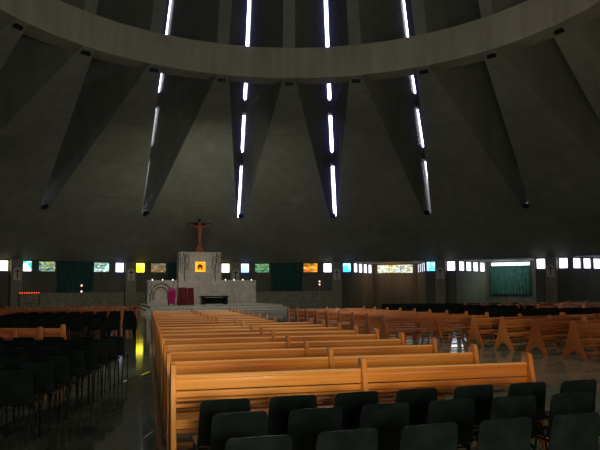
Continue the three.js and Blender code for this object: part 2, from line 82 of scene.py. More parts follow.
def addNode(tree, kind, inputs=(), operation=None, out=0, stops=(), **settings):
    # gives back one output, the first unless out names another. A shader node's kind goes without its
    # prefix, and stops are a colour ramp's places and colours.
    made = tree.nodes.new(kind if "Node" in kind else "ShaderNode" + kind)
    if operation:
        made.operation = operation
    for name, value in settings.items():
        setattr(made, name, value)
    for _ in stops[2:]:
        made.color_ramp.elements.new(1.0)
    for i, (place, color) in enumerate(stops):
        made.color_ramp.elements[i].position = place
        made.color_ramp.elements[i].color = linear(color)
    for name, value in inputs.items() if isinstance(inputs, dict) else enumerate(inputs):
        setSocket(tree, made.inputs[name], value)
    return made.outputs[out] if made.outputs else made


def newMaterial(name):
    material = bpy.data.materials.new(name)
    material.use_nodes = True
    return material, partial(addNode, material.node_tree)


def setSurface(material, **surface):
    tree = material.node_tree
    for name, value in surface.items():
        setSocket(tree, tree.nodes["Principled BSDF"].inputs[name.replace("_", " ")], value)
    return material


def bayTurn(bay):
    return Matrix.Rotation(-bay * bayAngle, 4, "Z")


def meshShape(draw):
    # makes a function that draws into a bmesh give back a plain mesh
    def make(*given):
        bm = bmesh.new()
        draw(bm, *given)
        bmesh.ops.recalc_face_normals(bm, faces=bm.faces)
        mesh = bpy.data.meshes.new(draw.__name__)
        bm.to_mesh(mesh)
        bm.free()
        return mesh
    return make


def addBox(bm, low, high, place=Matrix()):
    made = bmesh.ops.create_cube(bm, size=1)["verts"]
    size = Vector(high) - Vector(low)
    matrix = Matrix.Translation((Vector(low) + Vector(high)) / 2) @ Matrix.Diagonal((*size, 1))
    bmesh.ops.transform(bm, matrix=place @ matrix, verts=made)
    return made


def addPrism(bm, outline, axis, start, end, place=Matrix()):
    # an outline of two coordinates, pushed along the third axis
    orders = {"x": (2, 0, 1), "y": (0, 2, 1), "z": (0, 1, 2)}
    lower, upper = ([bm.verts.new([(*point, at)[i] for i in orders[axis]]) for point in outline]
                    for at in (start, end))
    bm.faces.new(lower)
    bm.faces.new(upper[::-1])
    for i in range(len(outline)):
        j = (i + 1) % len(outline)
        bm.faces.new((lower[i], upper[i], upper[j], lower[j]))
    bmesh.ops.transform(bm, matrix=place, verts=lower + upper)
    return lower + upper


def addHull(bm, rings):
    # a closed skin over rings of points
    made = [[bm.verts.new(point) for point in ring] for ring in rings]
    for a, b in zip(made, made[1:]):
        for k in range(len(a)):
            bm.faces.new((a[k], a[(k + 1) % len(a)], b[(k + 1) % len(a)], b[k]))
    bm.faces.new(made[0][::-1])
    bm.faces.new(made[-1])


def arcPoints(radius, steps, turn=2 * math.pi):
    # across and up at equal steps round an arc, from its start to its end
    turns = [turn * k / steps for k in range(steps + 1)]
    return [(radius * math.cos(at), radius * math.sin(at)) for at in turns]


def addTube(bm, points, radius, sides=8, place=Matrix()):
    # a round bar through the points, with flat ends
    points = [place @ Vector(point) for point in points]
    rings = []
    for i, point in enumerate(points):
        ahead = (points[min(i + 1, len(points) - 1)] - points[max(i - 1, 0)]).normalized()
        side = ahead.cross(Vector((0, 0, 1) if abs(ahead.z) < 0.9 else (1, 0, 0))).normalized()
        up = side.cross(ahead)
        rings.append([point + a * side + b * up for a, b in arcPoints(radius, sides)[:-1]])
    addHull(bm, rings)


def addCloth(bm, points, uvStep, closed=False):
    # faces over rows of points, each a uv step below the last
    uv = bm.loops.layers.uv.new("cloth")
    rows = [[bm.verts.new(point) for point in line] for line in points]
    across = len(rows[0])
    for j in range(len(rows) - 1):
        for i in range(across if closed else across - 1):
            k = (i + 1) % across
            face = bm.faces.new((rows[j][i], rows[j + 1][i], rows[j + 1][k], rows[j][k]))
            for loop, (u, v) in zip(face.loops, ((i, j), (i, j + 1), (i + 1, j + 1), (i + 1, j))):
                loop[uv].uv = (u * uvStep[0], v * uvStep[1])
    return rows, uv


def plainObject(name, mesh):
    made = bpy.data.objects.new(name, mesh)
    bpy.context.scene.collection.objects.link(made)
    return made


def addPiece(name, mesh, material, replaces=(), bevel=0.0, smooth=False):
    # the mesh comes in real metres and is scaled to the model
    mesh.transform(Matrix.Scale(modelScale, 4))
    mesh.materials.clear()
    mesh.materials.append(material)
    piece = plainObject(name, mesh)
    if bevel:
        edge = piece.modifiers.new("softEdges", "BEVEL")
        edge.width = bevel * modelScale
        edge.segments = 1
        edge.limit_method = "ANGLE"
    if smooth:
        mesh.shade_smooth()
        mesh.set_sharp_from_angle(angle=math.radians(40))
    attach(piece, "root")
    if replaces:
        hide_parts(*replaces)
    return piece


def addSheet(name, mesh, cloth, slotName, thickness, **facts):
    sheet = addPiece(name, mesh, cloth, smooth=True)
    shell = sheet.modifiers.new("clothThickness", "SOLIDIFY")
    shell.thickness = thickness * modelScale
    shell.offset = 0


def clothArea(mesh):
    # at the model's size, before the mesh is scaled
    return sum(face.area for face in mesh.polygons) * modelScale ** 2


def bakeTree(tree, name, shapeMesh, **inputs):
    # runs a Geometry Nodes tree and returns the plain mesh it makes. The shape lives only meanwhile.
    shape = plainObject(name + "Shape", shapeMesh)
    holder = plainObject(name, bpy.data.meshes.new(name))
    modifier = holder.modifiers.new(tree.name, "NODES")
    modifier.node_group = tree
    inputs["Shape"] = shape
    for item in tree.interface.items_tree:
        if item.item_type == "SOCKET" and item.in_out == "INPUT" and item.name in inputs:
            modifier[item.identifier] = inputs[item.name]
    bpy.context.view_layer.update()
    graph = bpy.context.evaluated_depsgraph_get()
    mesh = bpy.data.meshes.new_from_object(holder.evaluated_get(graph))
    mesh.name = name
    bpy.data.objects.remove(holder)
    bpy.data.objects.remove(shape)
    return mesh


# Cast concrete: matt, with the lines of the shuttering boards, pour joints and damp streaks.
# Boards are really about 100 mm wide. They are drawn 300 mm wide, so that they show from afar.
concrete = {
    "boardHeight": 0.30,
    "liftHeight": 2.40,
    "streakWidth": 0.9,
    "streakLength": 9.0,
    "patchSize": 5.0,
    "grain": 0.05,
}


def castConcrete(name, light, mid, dark, lifts=True):
    material, add = newMaterial(name)
    size = {key: value * modelScale for key, value in concrete.items()}
    place = add("TexCoord", out="Object")
    streakScale = (1 / size["streakWidth"], 1 / size["streakWidth"], 1 / size["streakLength"])
    stretched = add("Mapping", {"Vector": place, "Scale": streakScale})
    streaks = add("TexNoise", {"Vector": stretched, "Scale": 1, "Detail": 5, "Roughness": 0.6})
    patches = add("TexNoise", {"Vector": place, "Scale": 1 / size["patchSize"], "Detail": 6,
                               "Roughness": 0.55})
    grain = add("TexNoise", {"Vector": place, "Scale": 1 / size["grain"], "Detail": 3})
    mixed = add("Math", [streaks, patches], "ADD")
    mixed = add("Math", [grain, 0.18, mixed], "MULTIPLY_ADD")
    mixed = add("Math", [mixed, 0.45], "MULTIPLY")
    color = add("ValToRGB", [mixed], stops=[(0.34, dark), (0.5, mid), (0.66, light)])
    height = add("SeparateXYZ", [place], out="Z")
    boards = add("Math", [height, size["boardHeight"]], "PINGPONG")
    relief = add("MapRange", [boards, 0, 0.012])
    if lifts:
        lift = add("Math", [height, size["liftHeight"] / 2], "PINGPONG")
        lift = add("MapRange", [lift, 0, 0.03])
        relief = add("Math", [relief, lift], "MULTIPLY")
        shade = add("MapRange", [lift, 0, 1, 0.82, 1])
        color = add("VectorMath", {0: color, 3: shade}, "SCALE")
    relief = add("Math", [grain, 0.3, relief], "MULTIPLY_ADD")
    bump = add("Bump", {"Height": relief, "Distance": 0.006})
    return setSurface(material, Roughness=0.82, Specular_IOR_Level=0.3, Base_Color=color, Normal=bump)


# Polished marble: near black brown in the aisles and grey green between them, with fine veins.
marbleFloor = {
    "ringJoint": 1.2,       # slab length along the radius
    "slabsPerBay": 8,
    "aisleHalfWidth": 1.15,
    "firstAisle": 0.5,      # bays from the altar axis, and from aisle to aisle
    "aisleStep": 3.0,
    "jointWidth": 0.012,
    "aisleStops": [(0.3, "#242820"), (0.55, "#31352a"), (0.62, "#3f4236"), (0.75, "#292d24")],
    "fieldStops": [(0.3, "#4a5040"), (0.52, "#5a6152"), (0.6, "#6a6f60"), (0.75, "#525848")],
}


def polishedMarble():
    material, add = newMaterial("polishedMarble")
    place = add("TexCoord", out="Object")
    x, y, _ = add("SeparateXYZ", [place]).node.outputs
    radius = add("VectorMath", [add("CombineXYZ", [x, y])], "LENGTH", "Value")
    angle = add("Math", [x, y], "ARCTAN2")
    bays = add("Math", [add("Math", [angle, bayAngle], "DIVIDE")], "ABSOLUTE")
    fromAisle = add("Math", [bays, marbleFloor["firstAisle"]], "SUBTRACT")
    fromAisle = add("Math", [fromAisle, marbleFloor["aisleStep"] / 2], "PINGPONG")
    arc = add("Math", [radius, bayAngle], "MULTIPLY")
    across = add("Math", [fromAisle, arc], "MULTIPLY")
    edge = marbleFloor["aisleHalfWidth"] * modelScale
    inField = add("Math", [across, edge], "GREATER_THAN")
    # joints: along the radius, round the rings, and beside the aisles
    slabArc = add("Math", [bays, 0.5 / marbleFloor["slabsPerBay"]], "PINGPONG")
    slabArc = add("Math", [slabArc, arc], "MULTIPLY")
    slabRing = add("Math", [radius, marbleFloor["ringJoint"] * modelScale / 2], "PINGPONG")
    besideAisle = add("Math", [add("Math", [across, edge], "SUBTRACT")], "ABSOLUTE")
    besideAisle = add("Math", [besideAisle, 0.35], "MULTIPLY")
    nearest = add("Math", [add("Math", [slabArc, slabRing], "MINIMUM"), besideAisle], "MINIMUM")
    width = marbleFloor["jointWidth"] * modelScale
    joint = add("MapRange", [nearest, width / 2, width])
    warp = add("TexNoise", {"Vector": place, "Scale": 3, "Detail": 6, "Roughness": 0.62, "Distortion": 1.2})
    cloud = add("TexNoise", {"Vector": place, "Scale": 0.8, "Detail": 4})
    aisle, field = (add("ValToRGB", [warp], stops=marbleFloor[key]) for key in ("aisleStops", "fieldStops"))
    color = add("Mix", {"Factor": inField, 6: aisle, 7: field}, out=2, data_type="RGBA")
    shade = add("Math", [add("MapRange", [cloud, 0, 1, 0.75, 1.25]), joint], "MULTIPLY")
    color = add("VectorMath", {0: color, 3: shade}, "SCALE")
    worn = add("MapRange", [cloud, 0, 1, 0.03, 0.11])
    bump = add("Bump", {"Height": joint, "Distance": 0.001, "Strength": 0.6})
    return setSurface(material, IOR=1.5, Specular_IOR_Level=0.38, Base_Color=color, Roughness=worn,
                      Normal=bump)


def cloudedFinish(name, cloud, stops=(), gloss=None, bump=None, grit=None, **surface):
    # a finish that one soft noise varies. cloud is the noise's scale and detail, stops its colours, gloss
    # the range of its roughness, and bump a relief's distance and strength, from grit where there is any.
    material, add = newMaterial(name)
    place = add("TexCoord", out="Object")
    shape = dict(zip(("Scale", "Detail", "Roughness", "Distortion"), cloud))
    noise = add("TexNoise", {"Vector": place, **shape})
    if stops:
        surface["Base_Color"] = add("ValToRGB", [noise], stops=stops)
    if gloss:
        surface["Roughness"] = add("MapRange", [noise, 0, 1, *gloss])
    if bump:
        height = add(grit[0], {"Vector": place, **grit[1]}) if grit else noise
        surface["Normal"] = add("Bump", {"Height": height, "Distance": bump[0], "Strength": bump[1]})
    return setSurface(material, **surface)


def polishedStone(name, dark, mid, vein, roughness):
    # cut and polished stone: a low gloss, clouded, with thin veins about 400 mm apart
    stops = [(0.3, dark), (0.5, mid), (0.56, vein), (0.62, mid), (0.8, dark)]
    return cloudedFinish(name, (5, 6, 0.65, 1.5), stops, bump=(0.001, 0.3), Roughness=roughness, IOR=1.5)


def metalFinish(name, color, roughness, metallic=1.0):
    # a drawn or painted metal with fine rub marks in its gloss
    gloss = (roughness * 0.7, roughness * 1.4)
    return cloudedFinish(name, (40, 4), gloss=gloss, Base_Color=color, Metallic=metallic)


def varnishedTimber(name, dark, mid, light, roughness=0.3, worn=None):
    # grain follows the attribute grainPlace, whose x runs along each board. Rings are about 15 mm
    # apart in such timber and are drawn 40 mm apart, so that they show.
    material, add = newMaterial(name)
    grain = add("Attribute", out="Vector", attribute_name="grainPlace")
    stretched = add("Mapping", {"Vector": grain, "Scale": (0.9, 34, 34)})
    rings = add("TexNoise", {"Vector": stretched, "Scale": 1, "Detail": 5, "Roughness": 0.6,
                             "Distortion": 0.8})
    boards = add("TexNoise", {"Vector": add("TexCoord", out="Object"), "Scale": 1.1, "Detail": 1})
    mixed = add("Math", [rings, 0.4, boards], "MULTIPLY_ADD")
    stops = [(0.5, dark), (0.72, mid), (0.9, light)]
    if worn:
        # painted highlight and hand wear: the boards are paler above a height, which on the pews is the
        # rounded top of each rail, so that a line of light shows along it
        height, highlightAndWearColor = worn
        wearAndHighlight = add("MapRange", [add("SeparateXYZ", [grain], out="Z"), height - 0.01, height])
        mixed = add("Math", [mixed, wearAndHighlight], "ADD")
        stops.append((1.0, highlightAndWearColor))
    color = add("ValToRGB", [mixed], stops=stops)
    bump = add("Bump", {"Height": rings, "Distance": 0.0006, "Strength": 0.4})
    return setSurface(material, Roughness=roughness, IOR=1.5, Coat_Weight=0.6, Coat_Roughness=0.08,
                      Base_Color=color, Normal=bump)


def wovenCloth(name, dark, light):
    # a plain weave. Threads are under 1 mm and are drawn 8 mm apart, so that the weave shows.
    material, add = newMaterial(name)
    place = add("UVMap", uv_map="cloth")
    pitch = 2 * math.pi / 0.004
    waves = [add("TexWave", {"Vector": place, "Scale": pitch / 20, "Distortion": 0.4}, out="Fac",
                 bands_direction=axis) for axis in "XY"]
    weave = add("Math", waves, "MULTIPLY")
    shade = add("TexNoise", {"Vector": place, "Scale": 3, "Detail": 4})
    mixed = add("Math", [weave, 0.25, shade], "MULTIPLY_ADD")
    color = add("ValToRGB", [mixed], stops=[(0.35, dark), (0.85, light)])
    bump = add("Bump", {"Height": weave, "Distance": 0.0005, "Strength": 0.5})
    return setSurface(material, Roughness=0.85, Sheen_Weight=0.4, Sheen_Roughness=0.4, Base_Color=color,
                      Normal=bump)


def litDiffuser(name, color, strength):
    # frosted acrylic in front of daylight or a lamp: bright, a little uneven
    material, add = newMaterial(name)
    cloud = add("TexNoise", {"Vector": add("TexCoord", out="Object"), "Scale": 1.5, "Detail": 3})
    shade = add("MapRange", [cloud, 0, 1, 0.8, 1.15])
    lit = add("VectorMath", {0: linear(color)[:3], 3: shade}, "SCALE")
    return setSurface(material, Base_Color=color, Roughness=0.5, Emission_Strength=strength,
                      Emission_Color=lit)


def leadedGlass():
    # coloured glass with daylight behind it: where paneTint's alpha asks for it, streaks of several
    # colours in lead, and elsewhere one pane that fades between two. The colours carry the brightness.
    # A streak is about 350 mm long and 120 mm high.
    material, add = newMaterial("leadedColouredGlass")
    tint, accent = (add("Attribute", attribute_name=label) for label in ("paneTint", "paneAccent"))
    leaded = tint.node.outputs["Alpha"]
    place = add("UVMap", uv_map="pane")
    warp = add("TexNoise", {"Vector": place, "Scale": 2.2, "Detail": 2}, out="Color")
    warp = add("VectorMath", [warp, (0.3, 0.3, 0), place], "MULTIPLY_ADD")
    streaks = add("Mapping", {"Vector": warp, "Rotation": (0, 0, 0.3),
                              "Scale": (1 / (0.35 * modelScale), 1 / (0.12 * modelScale), 1)})
    cells = add("TexVoronoi", {"Vector": streaks, "Scale": 1}, out="Color", voronoi_dimensions="2D")
    edges = add("TexVoronoi", {"Vector": streaks, "Scale": 1}, voronoi_dimensions="2D",
                feature="DISTANCE_TO_EDGE")
    share, spread, _ = add("SeparateColor", [cells]).node.outputs
    drift = add("TexNoise", {"Vector": place, "Scale": 3, "Detail": 1})
    fade = add("MapRange", [drift, 0.42, 0.58])
    share = add("Mix", {"Factor": leaded, 2: fade, 3: share})
    color = add("Mix", {"Factor": share, 6: tint, 7: accent}, out=2, data_type="RGBA")
    spread = add("MapRange", [spread, 0, 1, 0.3, 1.4])
    lead = add("MapRange", [edges, 0.03, 0.07, 0.3])
    shade = add("Mix", {"Factor": leaded, 2: 1, 3: add("Math", [spread, lead], "MULTIPLY")})
    lit = add("VectorMath", {0: color, 3: shade}, "SCALE")
    return setSurface(material, Base_Color="#1c2226", Roughness=0.12, IOR=1.52, Emission_Strength=1,
                      Emission_Color=lit)


foldConcrete = castConcrete("boardMarkedConcrete", "#83857a", "#76786c", "#686a5f")
# ring beam and crown ring: smooth cast concrete without pour joints, paler and warmer than the folds, which
# partly paints the light that falls on the ring's inward face
ringConcreteWithPaintedLight = castConcrete("smoothCastConcreteWithPaintedLight", "#a8a28e", "#979280", "#827d6c", lifts=False)
pilasterRender = castConcrete("smoothPilasterRender", "#83826f", "#757463", "#605f52", lifts=False)
wallRender = castConcrete("renderedConcrete", "#606155", "#535448", "#42443a", lifts=False)
floorMarble = polishedMarble()
# pale fired glass, glossy on its face and cloudy inside
opalGlass = cloudedFinish("opalStripGlass", (2, 3), [(0.35, "#c3cdd6"), (0.7, "#e2e8ee")], Roughness=0.12,
                          IOR=1.5)
# tinted sheet glass, nearly black from outside by day, with rain marks in its gloss
darkGlazing = cloudedFinish("tintedSheetGlass", (6, 5), gloss=(0.04, 0.22), Base_Color="#10171a", IOR=1.5,
                            Coat_Weight=1, Coat_Roughness=0.03)
# lime render rubbed smooth by hand: pale grey, faintly mottled, with fine grit
altarRender = cloudedFinish("rubbedLimeRender", (4, 5), [(0.3, "#9d978b"), (0.7, "#b9b3a6")],
                            bump=(0.002, 0.5), grit=("TexNoise", {"Scale": 90, "Detail": 2}),
                            Roughness=0.75)
# injection-moulded polypropylene: black green, a faint grain in the gloss, scuffed here and there
chairPlastic = cloudedFinish("mouldedPolypropylene", (14, 6), [(0.4, "#080d0a"), (0.75, "#101713")],
                             (0.25, 0.5), (0.0003, 0.3), ("TexVoronoi", {"Scale": 500}), IOR=1.49)
whiteMarble = polishedStone("honedWhiteMarble", "#a9a69d", "#c4c1b8", "#9b978d", 0.3)
blackGranite = polishedStone("polishedBlackGranite", "#0b0c0a", "#161713", "#22231e", 0.12)
dadoMarble = polishedStone("greyGreenMarble", "#5c5e50", "#6f7161", "#85866f", 0.3)
nosingMarble = polishedStone("paleGreyMarble", "#8b887e", "#a3a095", "#7d7a70", 0.3)
# the middle pews' timber: paler above 0.857 m, on the rail's rounded top, as hand wear and a painted
# highlight
pewTimber = varnishedTimber("varnishedPine", "#a15a1d", "#c2772d", "#d89547", worn=(0.857, "#d89c5a"))
# the side blocks' pews: the same pine in darker tones
sideTimber = varnishedTimber("darkerVarnishedPine", "#6f3817", "#8d4c1e", "#ab672b")
crossTimber = varnishedTimber("darkStainedOak", "#150c08", "#26150e", "#341e14", 0.5)
carvedTimber = metalFinish("waxedCarvedWood", "#8a4e34", 0.35, 0)
reliefMetal = metalFinish("patinatedReliefMetal", "#6f6551", 0.6, 0.3)
chrome = metalFinish("polishedChromeTube", "#4e5153", 0.22)
lampMetal = metalFinish("blackPaintedSteel", "#0c0c0c", 0.4, 0)
frameMetal = metalFinish("darkPaintedSteelBars", "#191b1c", 0.45, 0)
bronze = metalFinish("darkBronzeCasting", "#3a2c20", 0.45)
gilding = metalFinish("burnishedGilding", "#c8993f", 0.3)
curtainCloth = wovenCloth("woolCurtainCloth", "#12302c", "#2f5a50")
redCloth = wovenCloth("darkRedDrapeCloth", "#3d0f14", "#6e1c24")
magentaCloth = wovenCloth("magentaDrapeCloth", "#7a0c46", "#a5145e")
daylight = litDiffuser("frostedDaylightPane", "#e8ebff", 9)
lampGlow = litDiffuser("frostedLampGlass", "#fff2d8", 6)
nicheGlow = litDiffuser("amberLampGlass", "#ff9a14", 1.3)
rimGlow = litDiffuser("yellowLampGlass", "#ffc83c", 1)
candleGlow = litDiffuser("redLampGlass", "#ff5a38", 1.2)
globeGlow = litDiffuser("opalLampGlobe", "#ffd2b8", 1.6)
windowGlass = leadedGlass()

nodeLooks = {
    "lantern_cap": foldConcrete, "ring_beam": ringConcreteWithPaintedLight, "crown_ring": ringConcreteWithPaintedLight,
    "slot_glazing": opalGlass, "window_glass": darkGlazing, "floor_slab": floorMarble,
    "altar_platform": whiteMarble, "altar_wall": altarRender, "altar_tower": altarRender,
    "altar_table": blackGranite,
}
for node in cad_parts.values():
    if node.name.startswith("cone_fold"):
        nodeLooks[node.name] = foldConcrete
    elif "wall" in node.name and node.name != "altar_wall":
        nodeLooks[node.name] = wallRender
    if node.name in nodeLooks:
        node.data.materials.clear()
        node.data.materials.append(nodeLooks[node.name])
print("shell, walls and floor finished")


def newTree(name, inputs):
    tree = bpy.data.node_groups.new(name, "GeometryNodeTree")
    for label, kind in inputs.items():
        tree.interface.new_socket(name=label, in_out="INPUT", socket_type="NodeSocket" + kind)
    tree.interface.new_socket(name="Geometry", in_out="OUTPUT", socket_type="NodeSocketGeometry")
    return tree, partial(addNode, tree), tree.nodes.new("NodeGroupInput").outputs


def closeTree(tree, given, points, turned):
    # the shape stands on each point, turned about the vertical
    add = partial(addNode, tree)
    shape = add("GeometryNodeObjectInfo", {"Object": given["Shape"]}, out="Geometry")
    placed = add("GeometryNodeInstanceOnPoints", {"Points": points, "Instance": shape,
                                                  "Rotation": add("CombineXYZ", {"Z": turned})})
    real = add("GeometryNodeRealizeInstances", [placed])
    painted = add("GeometryNodeSetMaterial", {"Geometry": real, "Material": given["Material"]})
    add("NodeGroupOutput", [painted])
    return tree


def turnRoundTree():
    # copies of a shape, each turned a step further round the hall's axis
    tree, add, given = newTree("turnRound", {"Shape": "Object", "Count": "Int", "First Turn": "Float",
                                             "Step": "Float", "Material": "Material"})
    points = add("GeometryNodeMeshLine", {"Count": given["Count"], "Offset": (0, 0, 0)})
    index = add("GeometryNodeInputIndex")
    turned = add("Math", [index, given["Step"], given["First Turn"]], "MULTIPLY_ADD")
    return closeTree(tree, given, points, turned)


def seatGridTree():
    # rows of a seat on a turned grid, each seat a little off its line
    tree, add, given = newTree("seatGrid", {
        "Shape": "Object", "Rows": "Int", "Columns": "Int", "Row Pitch": "Float", "Column Pitch": "Float",
        "Row Shift": "Float", "Start": "Vector", "Turn": "Float", "Unevenness": "Float", "Seed": "Int",
        "Material": "Material"})
    total = add("Math", [given["Rows"], given["Columns"]], "MULTIPLY")
    points = add("GeometryNodeMeshLine", {"Count": total, "Offset": (0, 0, 0)})
    index = add("GeometryNodeInputIndex")
    row = add("Math", [add("Math", [index, given["Columns"]], "DIVIDE")], "FLOOR")
    column = add("Math", [index, given["Columns"]], "MODULO")
    along = add("Math", [column, given["Column Pitch"]], "MULTIPLY")
    along = add("Math", [row, given["Row Shift"], along], "MULTIPLY_ADD")
    flat = add("CombineXYZ", [along, add("Math", [row, given["Row Pitch"]], "MULTIPLY")])
    turned = add("VectorRotate", {"Vector": flat, "Angle": given["Turn"]}, rotation_type="Z_AXIS")
    place = add("VectorMath", [turned, given["Start"]], "ADD")
    points = add("GeometryNodeSetPosition", {"Geometry": points, "Position": place})
    least = add("Math", [given["Unevenness"], -1], "MULTIPLY")
    shake = add("FunctionNodeRandomValue", {2: least, 3: given["Unevenness"], "Seed": given["Seed"]}, out=1,
                data_type="FLOAT")
    return closeTree(tree, given, points, add("Math", [given["Turn"], shake], "ADD"))


turnRound = turnRoundTree()
seatGrid = seatGridTree()


def addRound(name, shapeMesh, material, firstBay=0, count=building["bays"], smooth=False):
    baked = bakeTree(turnRound, name, shapeMesh, Count=count, Step=-bayAngle, Material=material,
                     **{"First Turn": -firstBay * bayAngle})
    return addPiece(name, baked, material, smooth=smooth)


def seatBlock(name, shapeMesh, material, block, seed, columnPitch, unevenness):
    # block: left foot x and y, turn, rows, row pitch, row shift, seats side by side
    x, y, turn, rows, rowPitch, rowShift, columns = block
    return bakeTree(seatGrid, name, shapeMesh, Rows=rows, Columns=columns, Material=material, Seed=seed,
                    Turn=math.radians(turn), Start=(x, y, floorTop + 0.001), Unevenness=unevenness,
                    **{"Row Pitch": rowPitch, "Row Shift": rowShift, "Column Pitch": columnPitch})


def ridgeRadius(z):
    (z0, r0), (z1, r1), (z2, r2) = building["ridge"]
    if z < z1:
        return r0 + (r1 - r0) * (z - z0) / (z1 - z0)
    return r1 + (r2 - r1) * (z - z1) / (z2 - z1)


def onEdge(radius, sideways, z):
    # a place on the plane between two bays: radius along the plane, then sideways and up
    return Vector((radius * math.sin(halfBay) - sideways * math.cos(halfBay),
                   radius * math.cos(halfBay) + sideways * math.sin(halfBay), z))


# Panes of frosted glass inside the slots
slotPane = {"inset": 0.07, "thickness": 0.03, "side": 0.015, "ends": 0.03}


@meshShape
def slotPaneShape(bm):
    half = building["slotHalfWidth"] - slotPane["side"]
    kink = building["ridge"][1][0]
    for bottom, top in building["slots"]:
        heights = [bottom + slotPane["ends"], top - slotPane["ends"]]
        if bottom < kink < top:
            heights.insert(1, kink)
        rings = []
        for z in heights:
            near = ridgeRadius(z) - slotPane["inset"]
            far = near + slotPane["thickness"]
            corners = ((near, half), (near, -half), (far, -half), (far, half))
            rings.append([onEdge(radius, sideways, z) for radius, sideways in corners])
        addHull(bm, rings)


addRound("slotPanes", slotPaneShape(), daylight)

# Floodlights under the ring beam, one at each rib: a finned box in a yoke. Ball lamps hang at the
# foot of each recess, and their profile is given as shares of the radius.
ringLamp = {"width": 0.6, "depth": 0.45, "height": 0.34, "gap": 0.1, "fins": 5, "inset": 0.25,
            "yoke": (0.15, 0.23)}
ballLamp = {"radius": 0.26, "stem": 0.5, "stemRadius": 0.03, "out": 0.45, "rise": 0.2,
            "profile": [(0.38, -0.92), (0.72, -0.7), (0.95, -0.32), (1, 0), (0.95, 0.32), (0.75, 0.66),
                        (0.45, 0.9), (0.2, 1)]}


@meshShape
def ringLampShape(bm):
    beam = building["ringBottom"]
    top = beam - ringLamp["gap"]
    low = top - ringLamp["height"]
    half, depth = ringLamp["width"] / 2, ringLamp["depth"]
    y = building["ringRadius"] + ringLamp["inset"]
    addPrism(bm, [(y, top), (y + depth, top), (y + depth, low + 0.1), (y + 0.12, low), (y, low + 0.06)],
             "x", -half, half)
    for i in range(ringLamp["fins"]):
        at = y + depth * (i + 0.5) / ringLamp["fins"]
        addBox(bm, (-half * 0.9, at - 0.012, top), (half * 0.9, at + 0.012, top + 0.05))
    start, end = (y + part for part in ringLamp["yoke"])
    for side in (-1, 1):
        x = side * (half + 0.03)
        addBox(bm, (x - 0.02, start, low + 0.1), (x + 0.02, end, beam))
    addBox(bm, (-half - 0.05, start, beam - 0.02), (half + 0.05, end, beam))


@meshShape
def ballLampShape(bm):
    radius, z = building["tip"]
    radius /= math.cos(halfBay)
    at = onEdge(radius - ballLamp["out"], 0, z + ballLamp["rise"])
    addHull(bm, [[at + ballLamp["radius"] * Vector((a, b, up)) for a, b in arcPoints(across, 12)[:-1]]
                 for across, up in ballLamp["profile"]])
    addTube(bm, [at + Vector((0, 0, ballLamp["radius"])), at + Vector((0, 0, ballLamp["stem"])),
                 onEdge(radius + 0.1, 0, z + ballLamp["stem"])], ballLamp["stemRadius"])


addRound("ringLamps", ringLampShape(), lampMetal)
addRound("ballLamps", ballLampShape(), lampMetal, smooth=True)
print("slot panes and lamps made")

# Low windows: panes of coloured glass in the middle of the wall, with steel bars before them. A tint
# of two colours fades or is leaded in both. Tints go by bay, and bays without their own take turns.
windows = {
    "depth": 0.2,        # from the wall's inner face to the glass
    "thickness": 0.02,
    "bar": 0.05,
    "stripPanes": 3,     # in a chapel's strip
    "smallGlow": 3.0,    # brightness of the plain panes and of the leaded ones
    "artGlow": 1.5,
    "smallTints": {0: (("#ffe418", "#fff45a"), "#fff3b8"), 1: (("#7fb4ff", "#e8f0ff"), "#f4f4ff"),
                   -1: (("#f6fff4", "#28c898"), "#d8d2ff"),
                   2: (("#38a8ec", "#9ae4fa"), ("#48b8f4", "#a8ecff")),
                   3: ("#eef2ff", "#ffffff"), 4: ("#f2f4ff", "#f2f4ff")},
    "pictureTints": {0: (("#a8602c", "#3c7c6c"), ("#2f7f86", "#e3d9a0")),
                     1: (("#1f6e5c", "#8ab070"), ("#f0c030", "#c8402a")),
                     -1: (("#1f6a9a", "#c0cc58"), ("#3f9a58", "#dfeeff"))},
    "otherSmall": [("#f4f6ff", "#eef0ff"), ("#d9e8ff", "#fff2c8"), ("#f2f4ff", "#cfe8ff")],
    "otherPicture": [(("#2c6ca8", "#e8d060"), ("#b8442c", "#f0d8a0")),
                     (("#2f8a5c", "#d8ecc0"), ("#7a4aa8", "#f0c8e0")),
                     (("#c8902a", "#3a7ca0"), ("#2a8a8a", "#e8e0c0"))],
    "chapelTints": [("#ffd24a", "#c8f0ff"), "#f4f6ff", ("#dfe6ff", "#f2d8a0")],
    "sideTint": "#f0f4ff",
}


def splitRun(start, end, count):
    joints = [start + (end - start) * i / count for i in range(count + 1)]
    return list(zip(joints, joints[1:]))


def bothSpans(window):
    # start and end of a window on the left of the bay's middle and on the right
    middle, width = building[window]
    return [(side * middle - width / 2, side * middle + width / 2) for side in (-1, 1)]


def chapelSideFrame(side):
    # the slanted side wall of a chapel, as a frame whose x runs along it and y points outwards
    run = Vector((chapel["backHalf"] - chapel["mouthHalf"], chapel["back"] - wallInner, 0))
    x = Vector((run.x * side, run.y, 0)).normalized()
    y = Vector((x.y * side, -x.x * side, 0))
    return Matrix(((x.x, y.x, 0, chapel["mouthHalf"] * side), (x.y, y.y, 0, wallInner), (0, 0, 1, 0),
                   (0, 0, 0, 1))), run.length


def chapelSideSpans():
    # each window's start and end along the slanted wall
    share = chapelSideFrame(1)[1] / (chapel["back"] - wallInner)
    outer, ends = building["wallOuter"], chapel["sideEnds"]
    half = chapel["sideWidth"] * share / 2
    spans = []
    for i in range(chapel["sideWindows"]):
        y = outer + (chapel["back"] - outer) * (i + ends) / (chapel["sideWindows"] - 1 + 2 * ends)
        middle = (y - wallInner) * share
        spans.append((middle - half, middle + half))
    return spans


